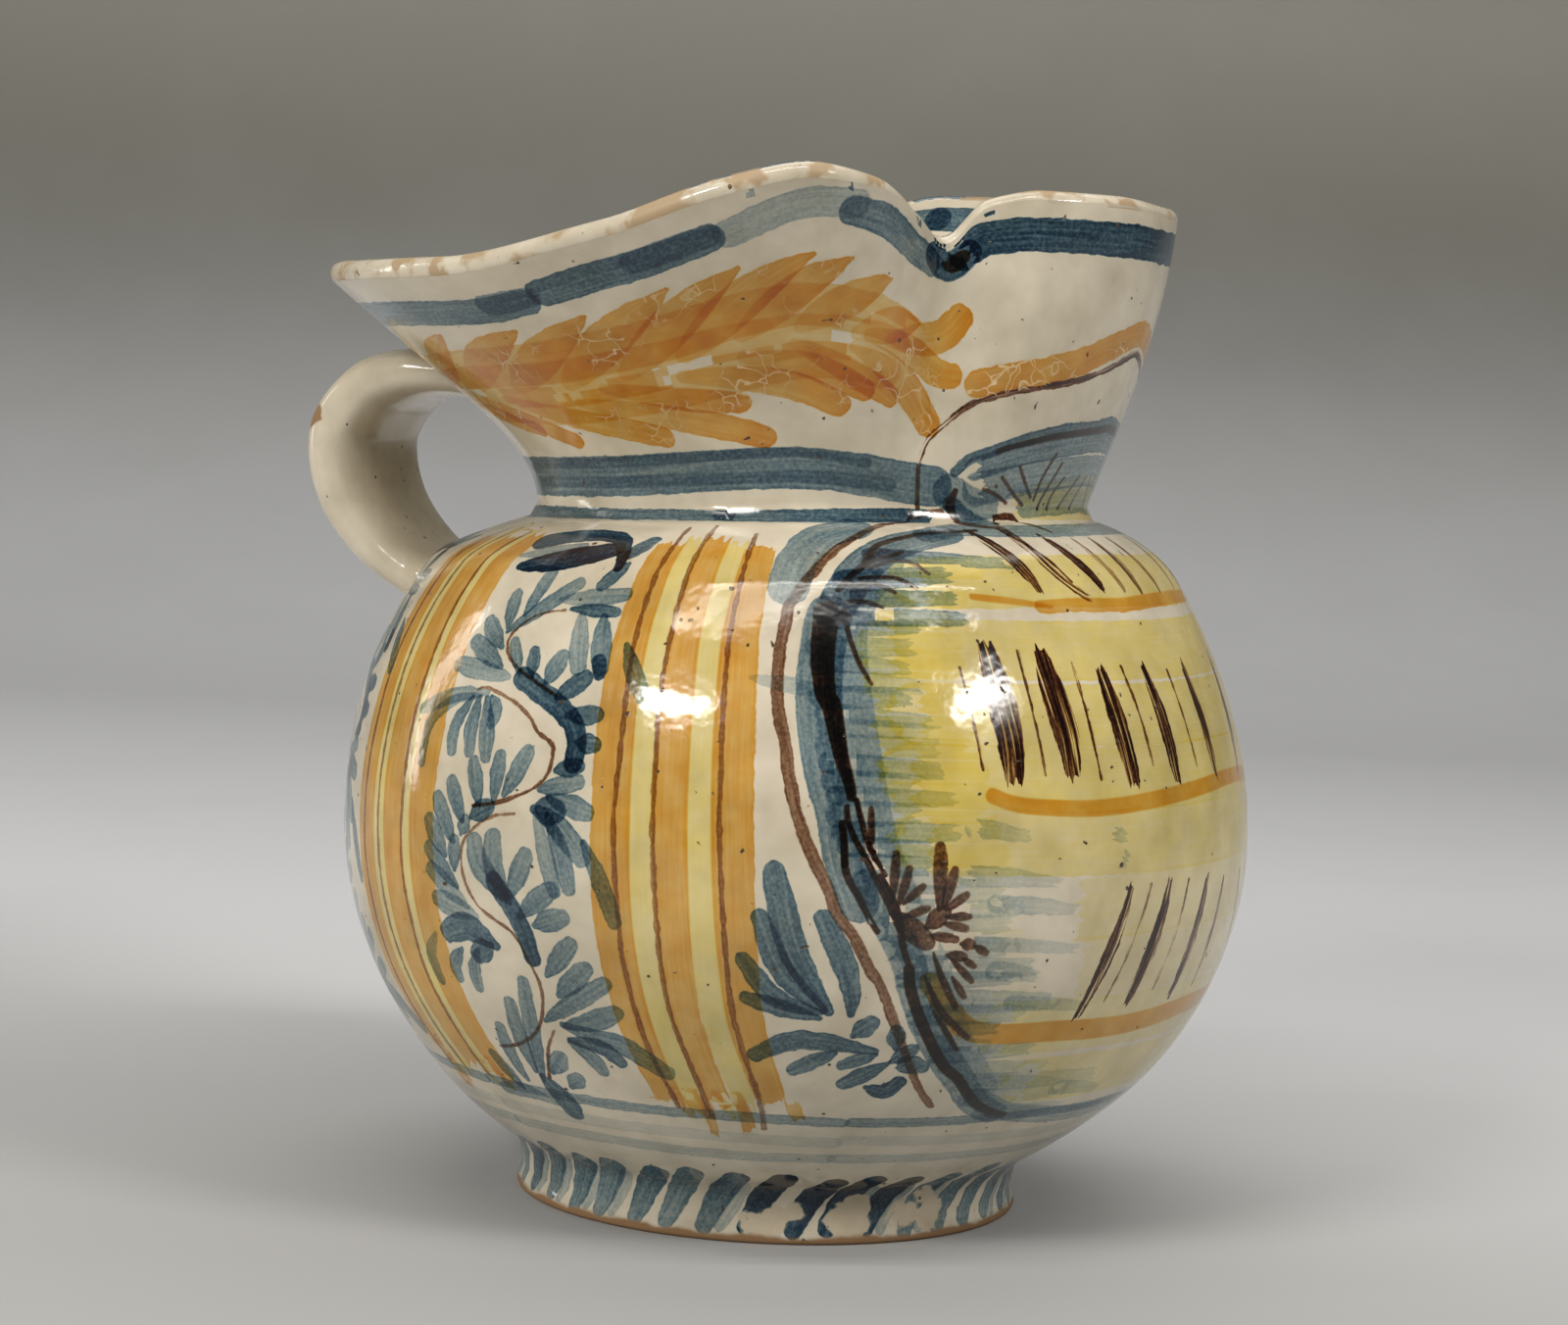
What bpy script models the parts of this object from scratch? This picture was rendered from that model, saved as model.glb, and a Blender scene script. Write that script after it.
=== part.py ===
"""Painted pharmacy jug with a pinched pouring mouth and a strap handle, fired as one piece.

The origin is the centre of the foot's flat underside. +Z is up, +X is the pouring
direction and the handle is on -X. All dimensions are in metres.
"""
import math

import bmesh
import bpy
from mathutils import Vector

# Foot
FOOT_RADIUS = 0.0482
FOOT_WAIST_RADIUS = 0.0473
FOOT_WAIST_HEIGHT = 0.0045
FOOT_TOP_RADIUS = 0.0481
FOOT_TOP_HEIGHT = 0.0085
FOOT_EDGE = 0.0008

# Belly: two half ellipses that share their widest circle
BELLY_RADIUS = 0.0865
BELLY_HEIGHT = 0.0723
BELLY_HALF_ABOVE = 0.0857
BELLY_HALF_BELOW = 0.0752
BELLY_START = 0.0125
BELLY_END = 0.1210

# The body sits slightly forward on its foot: height, shift towards the spout
BODY_LEAN = (
    (0.008, 0.0),
    (0.034, 0.0023),
    (0.070, 0.0025),
    (0.108, 0.0020),
    (0.133, 0.0026),
)

# The neck's rise for each metre towards the spout and towards +Y
NECK_TILT = (0.048, -0.018)
TILT_START = 0.118

# Crease at the top of the shoulder, and the neck
CREASE_RADIUS = 0.0537
CREASE_HEIGHT = 0.1306
NECK_RADIUS = 0.0525
NECK_HEIGHT = 0.1330

# Rim seen from above, from the middle of the back round past the spout and on to the back:
# angle from the spout in degrees, radius, drop below the highest peak. The lobes of the two
# sides differ a little.
RIM_HEIGHT = 0.1949
RIM_STATIONS = (
    (-180.0, 0.0947, 0.0224),
    (-150.0, 0.0940, 0.0227),
    (-120.0, 0.0898, 0.0214),
    (-97.0, 0.0866, 0.0138),
    (-81.0, 0.0843, 0.0049),
    (-71.0, 0.0802, 0.0015),
    (-62.0, 0.0719, 0.0027),
    (-54.0, 0.0600, 0.0071),
    (-46.5, 0.0541, 0.0111),
    (-39.0, 0.0560, 0.0041),
    (-30.0, 0.0610, 0.0020),
    (-15.0, 0.0657, 0.0020),
    (3.0, 0.0670, 0.0029),
    (20.0, 0.0660, 0.0027),
    (35.0, 0.0610, 0.0029),
    (44.0, 0.0560, 0.0046),
    (52.0, 0.0541, 0.0101),
    (60.0, 0.0600, 0.0059),
    (68.0, 0.0719, 0.0017),
    (78.0, 0.0808, 0.0000),
    (92.0, 0.0843, 0.0001),
    (108.0, 0.0865, 0.0079),
    (128.0, 0.0898, 0.0174),
    (152.0, 0.0937, 0.0214),
    (180.0, 0.0947, 0.0224),
)

# Walls
WALL = 0.0056
LIP_WALL = 0.0044
FLOOR_HEIGHT = 0.009
FLOOR_RADIUS = 0.008

# Strap handle: centre line in the plane of the handle, as x and z
HANDLE_PATH = (
    (-0.0795, 0.1541),
    (-0.0876, 0.1505),
    (-0.0933, 0.1408),
    (-0.0894, 0.1271),
    (-0.0763, 0.1154),
)
HANDLE_START_DIRECTION = (-0.95, -0.30)
HANDLE_END_DIRECTION = (0.88, -0.46)
HANDLE_WIDTH = 0.0350
HANDLE_THICKNESS = 0.0138
HANDLE_END_WIDTH = 0.0330
HANDLE_END_THICKNESS = 0.0105
HANDLE_SQUARENESS = 2.7
HANDLE_SECTIONS = 13
JOINT_SECTIONS = 3
JOINT_HALF_ANGLE = 13.5

# Steps of the turned surface: angles in degrees with the number of columns in each span
COLUMN_SPANS = (
    (-180.0, JOINT_HALF_ANGLE - 180.0, 2),
    (JOINT_HALF_ANGLE - 180.0, -70.0, 12),
    (-70.0, -30.0, 10),
    (-30.0, 35.0, 10),
    (35.0, 75.0, 10),
    (75.0, 180.0 - JOINT_HALF_ANGLE, 12),
    (180.0 - JOINT_HALF_ANGLE, 180.0, 2),
)
JOINT_ROWS = 3
MOUTH_ROWS = (5, 3)

# Where the handle meets the wall: heights on the shoulder, shares of the mouth's rise
SHOULDER_JOINT = (0.1070, 0.1196)
MOUTH_JOINT = (0.48, 0.75)
INNER_MOUTH_STEPS = (0.93, 0.8, 0.64, 0.48, 0.32, 0.16)

CERAMIC_COLOUR = (0.72, 0.66, 0.58, 1.0)


def interpolate(stations, position, column):
    """Smooth value through the stations, flat at both ends."""
    xs = [station[0] for station in stations]
    ys = [station[column] for station in stations]
    slopes = [0.0]
    for i in range(1, len(xs) - 1):
        before = (ys[i] - ys[i - 1]) / (xs[i] - xs[i - 1])
        after = (ys[i + 1] - ys[i]) / (xs[i + 1] - xs[i])
        if before * after <= 0.0:
            slopes.append(0.0)
        else:
            slopes.append(2.0 * before * after / (before + after))
    slopes.append(0.0)
    k = max(i for i in range(len(xs) - 1) if position >= xs[i])
    span = xs[k + 1] - xs[k]
    u = (position - xs[k]) / span
    return (
        ys[k] * (1 + 2 * u) * (1 - u) ** 2
        + slopes[k] * span * u * (1 - u) ** 2
        + ys[k + 1] * u * u * (3 - 2 * u)
        - slopes[k + 1] * span * u * u * (1 - u)
    )


def bezier(a, b, c, d, t):
    """Point at t on the cubic curve with the control values a to d."""
    s = 1.0 - t
    return s ** 3 * a + 3 * s * s * t * b + 3 * s * t * t * c + t ** 3 * d


def smooth_step(start, end, value):
    """0 before start, 1 after end, with a soft rise between."""
    u = min(max((value - start) / (end - start), 0.0), 1.0)
    return u * u * (3 - 2 * u)


def belly_radius(height):
    """Outer radius of the belly's ellipse at a height."""
    half = BELLY_HALF_ABOVE if height > BELLY_HEIGHT else BELLY_HALF_BELOW
    return BELLY_RADIUS * math.sqrt(1.0 - ((height - BELLY_HEIGHT) / half) ** 2)


def foot_profile():
    """Foot from its underside's edge to the start of the belly, as radius and height."""
    return [
        (FOOT_RADIUS - FOOT_EDGE, 0.0),
        (FOOT_RADIUS, FOOT_EDGE),
        (FOOT_WAIST_RADIUS, FOOT_WAIST_HEIGHT),
        (FOOT_TOP_RADIUS, FOOT_TOP_HEIGHT),
        ((FOOT_TOP_RADIUS + belly_radius(BELLY_START)) / 2 - 0.0005,
         (FOOT_TOP_HEIGHT + BELLY_START) / 2 + 0.0004),
        (belly_radius(BELLY_START), BELLY_START),
    ]


def belly_profile(steps_below, steps_above):
    """Belly from the foot over the handle's lower joint to the shoulder."""
    rows = []
    low = math.acos((BELLY_HEIGHT - BELLY_START) / BELLY_HALF_BELOW)
    for i in range(1, steps_below + 1):
        turn = low + (math.pi / 2 - low) * i / steps_below
        rows.append(BELLY_HEIGHT - BELLY_HALF_BELOW * math.cos(turn))
    high = math.asin((SHOULDER_JOINT[0] - BELLY_HEIGHT) / BELLY_HALF_ABOVE)
    for i in range(1, steps_above):
        rows.append(BELLY_HEIGHT + BELLY_HALF_ABOVE * math.sin(high * i / steps_above))
    low, high = SHOULDER_JOINT
    rows += [low + (high - low) * i / JOINT_ROWS for i in range(JOINT_ROWS + 1)]
    rows.append(BELLY_END)
    return [(belly_radius(height), height) for height in rows]


def shoulder_profile(steps):
    """Curve from the belly over the shoulder into the crease under the neck."""
    start = belly_radius(BELLY_END)
    slope = (belly_radius(BELLY_END) - belly_radius(BELLY_END - 0.001)) / 0.001
    reach = 0.0045
    rows = []
    for i in range(1, steps + 1):
        t = i / steps
        radius = bezier(start, start + slope * reach, CREASE_RADIUS + 0.0035, CREASE_RADIUS, t)
        height = bezier(BELLY_END, BELLY_END + reach, CREASE_HEIGHT - 0.0008, CREASE_HEIGHT, t)
        rows.append((radius, height))
    return rows


def mouth_steps():
    """Shares of the mouth's rise for its rows, with the handle's joint between two of them."""
    low, high = MOUTH_JOINT
    below, above = MOUTH_ROWS
    steps = [low * i / below for i in range(1, below)]
    steps += [low + (high - low) * i / JOINT_ROWS for i in range(JOINT_ROWS + 1)]
    return steps + [high + (1.0 - high) * i / above for i in range(1, above)]


def mouth_profile(angle, t):
    """Outer radius and height of the mouth at an angle in degrees, from neck 0 to rim 1."""
    turn = (angle + 180.0) % 360.0 - 180.0
    radius = interpolate(RIM_STATIONS, turn, 1)
    height = RIM_HEIGHT - interpolate(RIM_STATIONS, turn, 2)
    back = smooth_step(38.0, 75.0, abs(turn))
    low = 0.12 + 0.16 * back
    out = 0.10 - 0.10 * back
    full = 0.92 - 0.48 * back
    high = 0.55 - 0.02 * back
    base = NECK_HEIGHT + neck_rise(angle, NECK_RADIUS)
    flare = radius - NECK_RADIUS
    rise = height - base
    return (
        NECK_RADIUS + flare * bezier(0.0, out, full, 1.0, t),
        base + rise * bezier(0.0, low, high, 1.0, t),
    )


def place(angle, radius, height):
    """Point at an angle, set forward as far as the body is at that height."""
    turn = math.radians(angle)
    shift = interpolate(BODY_LEAN, min(max(height, BODY_LEAN[0][0]), BODY_LEAN[-1][0]), 1)
    return Vector((radius * math.cos(turn) + shift, radius * math.sin(turn), height))


def neck_rise(angle, radius):
    """Height that the tilt of the neck adds at an angle and radius."""
    turn = math.radians(angle)
    return radius * (NECK_TILT[0] * math.cos(turn) + NECK_TILT[1] * math.sin(turn))


def place_turned(angle, radius, height):
    """Point of the turned body, whose top tilts with the neck."""
    rise = neck_rise(angle, radius) * smooth_step(TILT_START, CREASE_HEIGHT, height)
    return place(angle, radius, height) + Vector((0.0, 0.0, rise))


def mouth_point(angle, t):
    """Point on the outer face of the mouth."""
    return place(angle, *mouth_profile(angle, t))


def mouth_normal(angle, t):
    """Outward direction of the mouth's outer face."""
    lower = max(t - 0.01, 0.0)
    upper = min(t + 0.01, 1.0)
    along = mouth_point(angle, upper) - mouth_point(angle, lower)
    around = mouth_point(angle + 0.8, t) - mouth_point(angle - 0.8, t)
    return around.cross(along).normalized()


def inner_mouth_point(angle, t):
    """Point on the inner face of the mouth, one wall inside the outer face."""
    wall = WALL + (LIP_WALL - WALL) * t
    return mouth_point(angle, t) - mouth_normal(angle, t) * wall


def lip_point(angle, turn):
    """Point on the rounded lip, from the outer face at 0 to the inner face at 180 degrees."""
    half = LIP_WALL / 2
    normal = mouth_normal(angle, 1.0)
    along = (mouth_point(angle, 1.0) - mouth_point(angle, 0.97)).normalized()
    centre = mouth_point(angle, 1.0) - normal * half - along * half
    radians = math.radians(turn)
    return centre + normal * half * math.cos(radians) + along * half * math.sin(radians)


def offset_profile(rows):
    """Profile one wall inside the given rows of radius and height."""
    inside = []
    for i in range(1, len(rows) - 1):
        dr = rows[i + 1][0] - rows[i - 1][0]
        dz = rows[i + 1][1] - rows[i - 1][1]
        size = math.hypot(dr, dz)
        inside.append((rows[i][0] - WALL * dz / size, rows[i][1] + WALL * dr / size))
    return inside


def column_angles():
    """Angles of the columns round the jug, closer together at the pinched notches."""
    angles = []
    for start, end, steps in COLUMN_SPANS:
        angles += [start + (end - start) * i / steps for i in range(steps)]
    return angles


def next_ring(bm, ring, points):
    """Extrudes the open ring of vertices and moves the new ring to the given points."""
    edges = []
    for i, vert in enumerate(ring):
        edges.append(bm.edges.get((vert, ring[(i + 1) % len(ring)])))
    made = bmesh.ops.extrude_edge_only(bm, edges=edges)["geom"]
    new = {item for item in made if isinstance(item, bmesh.types.BMVert)}
    after = []
    for vert, point in zip(ring, points):
        twin = next(e.other_vert(vert) for e in vert.link_edges if e.other_vert(vert) in new)
        twin.co = point
        after.append(twin)
    return after


def vessel_rings(angles):
    """Rings of points from the underside's edge, up the outside, over the lip and down."""
    belly = belly_profile(9, 4)
    shoulder = shoulder_profile(4)
    outside = foot_profile() + belly + shoulder + [(NECK_RADIUS, NECK_HEIGHT)]
    rings = [[place_turned(angle, *row) for angle in angles] for row in outside]
    for t in mouth_steps():
        rings.append([mouth_point(angle, t) for angle in angles])
    for turn in (0.0, 40.0, 90.0, 140.0, 180.0):
        rings.append([lip_point(angle, turn) for angle in angles])
    for t in INNER_MOUTH_STEPS:
        rings.append([inner_mouth_point(angle, t) for angle in angles])
    wall_rows = [belly[i] for i in (0, 1, 3, 5, 7, 8, 10, 12, 14, 16)]
    wall_rows += [shoulder[1], shoulder[3], (NECK_RADIUS, NECK_HEIGHT + 0.002)]
    inside = offset_profile(wall_rows)
    rings += [[place_turned(angle, *row) for angle in angles] for row in reversed(inside)]
    edge_radius, edge_height = inside[0]
    for part in (0.84, 0.64, 0.38, FLOOR_RADIUS / edge_radius):
        rise = (edge_height - FLOOR_HEIGHT) * part ** 3.2
        rings.append([place(angle, edge_radius * part, FLOOR_HEIGHT + rise) for angle in angles])
    return rings


def patch_loop(grid, rows, columns, flip):
    """Vertices round a rectangle of the grid, with their places on the strap's section."""
    loop = []
    last_row, last_column = len(rows) - 1, len(columns) - 1
    for i in range(last_column):
        loop.append((rows[0], columns[i], -1 + 2 * i / last_column, -1))
    for i in range(last_row):
        loop.append((rows[i], columns[-1], 1, -1 + 2 * i / last_row))
    for i in range(last_column, 0, -1):
        loop.append((rows[-1], columns[i], -1 + 2 * i / last_column, 1))
    for i in range(last_row, 0, -1):
        loop.append((rows[i], columns[0], -1, -1 + 2 * i / last_row))
    sign = -1 if flip else 1
    return [(grid[row][column], across, sign * through) for row, column, across, through in loop]


def section_point(across, through, width, thickness):
    """Place on the strap's rounded section for a place on the edge of a square."""
    x = across * math.sqrt(1 - through * through / 2)
    y = through * math.sqrt(1 - across * across / 2)
    power = 2 / HANDLE_SQUARENESS
    wide = math.copysign(abs(x) ** power, x)
    thick = math.copysign(abs(y) ** power, y)
    return wide * width / 2, thick * thickness / 2


def handle_frames():
    """Centre, direction, outward normal, width and thickness of each section."""
    stations = [Vector((x, 0.0, z)) for x, z in HANDLE_PATH]
    first = Vector((HANDLE_START_DIRECTION[0], 0.0, HANDLE_START_DIRECTION[1])).normalized()
    last = Vector((HANDLE_END_DIRECTION[0], 0.0, HANDLE_END_DIRECTION[1])).normalized()
    count = len(stations) - 1
    tangents = [first * (stations[1] - stations[0]).length]
    for i in range(1, count):
        tangents.append((stations[i + 1] - stations[i - 1]) / 2)
    tangents.append(last * (stations[-1] - stations[-2]).length)
    frames = []
    for i in range(HANDLE_SECTIONS):
        place_on = i / (HANDLE_SECTIONS - 1) * count
        k = min(int(place_on), count - 1)
        u = place_on - k
        a, b = stations[k], stations[k + 1]
        ta, tb = tangents[k], tangents[k + 1]
        centre = (
            a * (1 + 2 * u) * (1 - u) ** 2
            + ta * u * (1 - u) ** 2
            + b * u * u * (3 - 2 * u)
            - tb * u * u * (1 - u)
        )
        direction = (
            (a - b) * (6 * u * u - 6 * u)
            + ta * (1 - 4 * u + 3 * u * u)
            + tb * (3 * u * u - 2 * u)
        ).normalized()
        normal = Vector((direction.z, 0.0, -direction.x))
        full = math.sin(math.pi * place_on / count)
        width = HANDLE_END_WIDTH + (HANDLE_WIDTH - HANDLE_END_WIDTH) * full
        thickness = HANDLE_END_THICKNESS + (HANDLE_THICKNESS - HANDLE_END_THICKNESS) * full
        frames.append((centre, direction, normal, width, thickness))
    return frames


def section_ring(frame, places):
    """Points of the strap's section in one frame."""
    centre, _, normal, width, thickness = frame
    points = []
    for across, through in places:
        wide, thick = section_point(across, through, width, thickness)
        points.append(centre + Vector((0.0, -wide, 0.0)) + normal * thick)
    return points


def upper_joint_point(across, up):
    """Point of the mouth's face, for a place on the joint's square."""
    low, high = MOUTH_JOINT
    return mouth_point(180.0 + across * JOINT_HALF_ANGLE, (low + high + up * (high - low)) / 2)


def lower_joint_point(across, down):
    """Point of the shoulder, for a place on the joint's square."""
    low, high = SHOULDER_JOINT
    height = (low + high - down * (high - low)) / 2
    return place_turned(180.0 + across * JOINT_HALF_ANGLE, belly_radius(height), height)


def round_joint(loop, joint_point):
    """Moves the vertices round a joint onto the strap's rounded outline on the wall."""
    for vert, across, through in loop:
        vert.co = joint_point(*section_point(across, through, 2.0, 2.0))


def joint_ring(start, end, direction, middle, share):
    """Ring between the wall and the strap, with a soft fillet at the wall."""
    points = []
    for a, d in zip(start, end):
        b = a + (middle - a) * 0.16
        c = d - direction * (d - a).length * 0.45
        points.append(bezier(a, b, c, d, share))
    return points


def add_handle(bm, grid, upper_rows, lower_rows, columns):
    """Opens the wall at both joints and draws the strap out between them."""
    upper = patch_loop(grid, upper_rows, columns, False)
    lower = patch_loop(grid, lower_rows, columns, True)
    round_joint(upper, upper_joint_point)
    round_joint(lower, lower_joint_point)
    openings = []
    for rows in (upper_rows, lower_rows):
        inside = {grid[row][column] for row in rows for column in columns}
        openings += [face for face in bm.faces if all(v in inside for v in face.verts)]
    bmesh.ops.delete(bm, geom=openings, context="FACES")
    places = [(across, through) for _, across, through in upper]
    frames = handle_frames()
    ring = [vert for vert, _, _ in upper]
    start = [vert.co.copy() for vert in ring]
    middle = sum(start, Vector()) / len(start)
    first = section_ring(frames[0], places)
    for i in range(1, JOINT_SECTIONS + 1):
        share = i / (JOINT_SECTIONS + 1)
        ring = next_ring(bm, ring, joint_ring(start, first, frames[0][1], middle, share))
    for frame in frames:
        ring = next_ring(bm, ring, section_ring(frame, places))
    by_place = {(round(a, 4), round(t, 4)): vert for vert, a, t in lower}
    target = [by_place[(round(a, 4), round(t, 4))] for a, t in places]
    end = [vert.co.copy() for vert in target]
    middle = sum(end, Vector()) / len(end)
    last = [vert.co.copy() for vert in ring]
    for i in range(JOINT_SECTIONS, 0, -1):
        share = i / (JOINT_SECTIONS + 1)
        ring = next_ring(bm, ring, joint_ring(end, last, -frames[-1][1], middle, share))
    edges = []
    for loop in (ring, target):
        for i, vert in enumerate(loop):
            edges.append(bm.edges.get((vert, loop[(i + 1) % len(loop)])))
    bmesh.ops.bridge_loops(bm, edges=edges)


def build_jug():
    """Makes the whole jug as one closed body."""
    angles = column_angles()
    rings = vessel_rings(angles)
    bm = bmesh.new()
    first = bmesh.ops.create_circle(bm, cap_ends=True, segments=len(angles), radius=FOOT_RADIUS)
    ring = first["verts"]
    for vert, point in zip(ring, rings[0]):
        vert.co = point
    grid = [ring]
    for points in rings[1:]:
        ring = next_ring(bm, ring, points)
        grid.append(ring)
    floor = [bm.edges.get((vert, ring[(i + 1) % len(ring)])) for i, vert in enumerate(ring)]
    bmesh.ops.edgeloop_fill(bm, edges=floor)
    foot_count = len(foot_profile())
    belly_count = len(belly_profile(9, 4))
    shoulder_count = len(shoulder_profile(4))
    columns = [-2, -1, 0, 1, 2]
    first_lower = foot_count + belly_count - JOINT_ROWS - 2
    lower_rows = list(range(first_lower, first_lower + JOINT_ROWS + 1))
    first_upper = foot_count + belly_count + shoulder_count + MOUTH_ROWS[0]
    upper_rows = list(range(first_upper, first_upper + JOINT_ROWS + 1))
    add_handle(bm, grid, upper_rows, lower_rows, columns)
    bmesh.ops.recalc_face_normals(bm, faces=bm.faces)
    mesh = bpy.data.meshes.new("jug")
    bm.to_mesh(mesh)
    bm.free()
    mesh.shade_smooth()
    mesh.set_sharp_from_angle(angle=math.radians(38))
    jug = bpy.data.objects.new("jug", mesh)
    bpy.context.collection.objects.link(jug)
    return jug


def glazed_ceramic():
    """Glossy off-white glaze."""
    material = bpy.data.materials.new("glazed_ceramic")
    material.use_nodes = True
    shader = material.node_tree.nodes["Principled BSDF"]
    shader.inputs["Base Color"].default_value = CERAMIC_COLOUR
    shader.inputs["Roughness"].default_value = 0.16
    shader.inputs["Metallic"].default_value = 0.0
    material.diffuse_color = CERAMIC_COLOUR
    return material


def main():
    for item in list(bpy.data.objects):
        bpy.data.objects.remove(item, do_unlink=True)
    jug = build_jug()
    jug.data.materials.append(glazed_ceramic())


main()
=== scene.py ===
"""Looks of the painted pharmacy jug: its glazed body, its brushwork, the light and the camera.

The frame is the CAD model's own: origin at the centre of the foot's underside, +Z up, +X the
pouring direction, handle on -X. Lengths are in metres; brushwork is given in degrees round the
jug from the spout (minus is the side that the camera sees) and in millimetres.
"""

import logging
import math
import random
from dataclasses import dataclass, field, replace
from enum import Enum
from typing import Callable, Sequence

import bmesh
import bpy
import numpy as np
from mathutils import Matrix, Vector


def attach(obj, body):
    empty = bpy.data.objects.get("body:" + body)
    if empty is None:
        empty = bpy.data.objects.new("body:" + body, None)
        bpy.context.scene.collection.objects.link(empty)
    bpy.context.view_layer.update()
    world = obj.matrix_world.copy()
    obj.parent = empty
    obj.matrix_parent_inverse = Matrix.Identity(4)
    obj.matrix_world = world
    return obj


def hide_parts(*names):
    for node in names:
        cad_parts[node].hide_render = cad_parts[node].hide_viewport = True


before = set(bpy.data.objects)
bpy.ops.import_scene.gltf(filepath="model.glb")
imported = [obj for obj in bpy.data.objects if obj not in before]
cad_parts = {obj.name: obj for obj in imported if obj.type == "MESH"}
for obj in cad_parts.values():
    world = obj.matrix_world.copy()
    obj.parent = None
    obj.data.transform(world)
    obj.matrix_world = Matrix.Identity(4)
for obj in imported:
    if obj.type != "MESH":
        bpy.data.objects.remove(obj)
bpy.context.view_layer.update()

LOG = logging.getLogger("jug")
MM = 0.001
Station = tuple[float, ...]
Row = tuple[float, float]


class Zone(Enum):
    """Parts of the surface; a brush stroke stays on its own part."""

    FOOT = 1
    BODY = 2
    MOUTH = 3
    LIP = 4
    INNER_MOUTH = 5
    INSIDE = 6
    HANDLE = 7


class Coat(Enum):
    """The two coats of painting, with the number of marks that may lie over each other."""

    GROUND = ("ground", 4)
    OVER = ("over", 6)

    @property
    def stem(self) -> str:
        """First part of the names of its attributes."""
        return self.value[0]

    @property
    def layers(self) -> int:
        """How many marks may lie over each other."""
        return self.value[1]


class Pigment(Enum):
    """Metal oxides, each with its coat and the light that one full stroke lets through."""

    YELLOW = (Coat.GROUND, "FBEE9B")
    ORANGE = (Coat.GROUND, "E9B254")
    BLUE = (Coat.OVER, "65849E")
    DARK = (Coat.OVER, "9F816F")


def interpolate(stations: Sequence[Station], position: float, column: int) -> float:
    """Smooth value through the stations, flat at both ends.

    Args:
        stations: rows that start with a position.
        position: where the value is wanted.
        column: which column of the rows is read.

    Returns:
        The value there.
    """
    xs = [station[0] for station in stations]
    ys = [station[column] for station in stations]
    slopes = [0.0]
    for i in range(1, len(xs) - 1):
        before = (ys[i] - ys[i - 1]) / (xs[i] - xs[i - 1])
        after = (ys[i + 1] - ys[i]) / (xs[i + 1] - xs[i])
        slopes.append(0.0 if before * after <= 0.0 else 2.0 * before * after / (before + after))
    slopes.append(0.0)
    k = max(i for i in range(len(xs) - 1) if position >= xs[i])
    span = xs[k + 1] - xs[k]
    u = (position - xs[k]) / span
    return (ys[k] * (1 + 2 * u) * (1 - u) ** 2 + slopes[k] * span * u * (1 - u) ** 2
            + ys[k + 1] * u * u * (3 - 2 * u) - slopes[k + 1] * span * u * u * (1 - u))


def bezier(a, b, c, d, t: float):
    """Point at t on the cubic curve with the control values a to d."""
    s = 1.0 - t
    return s ** 3 * a + 3 * s * s * t * b + 3 * s * t * t * c + t ** 3 * d


def smooth_step(start: float, end: float, value: float) -> float:
    """0 before start, 1 after end, with a soft rise between."""
    u = min(max((value - start) / (end - start), 0.0), 1.0)
    return u * u * (3 - 2 * u)


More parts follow.
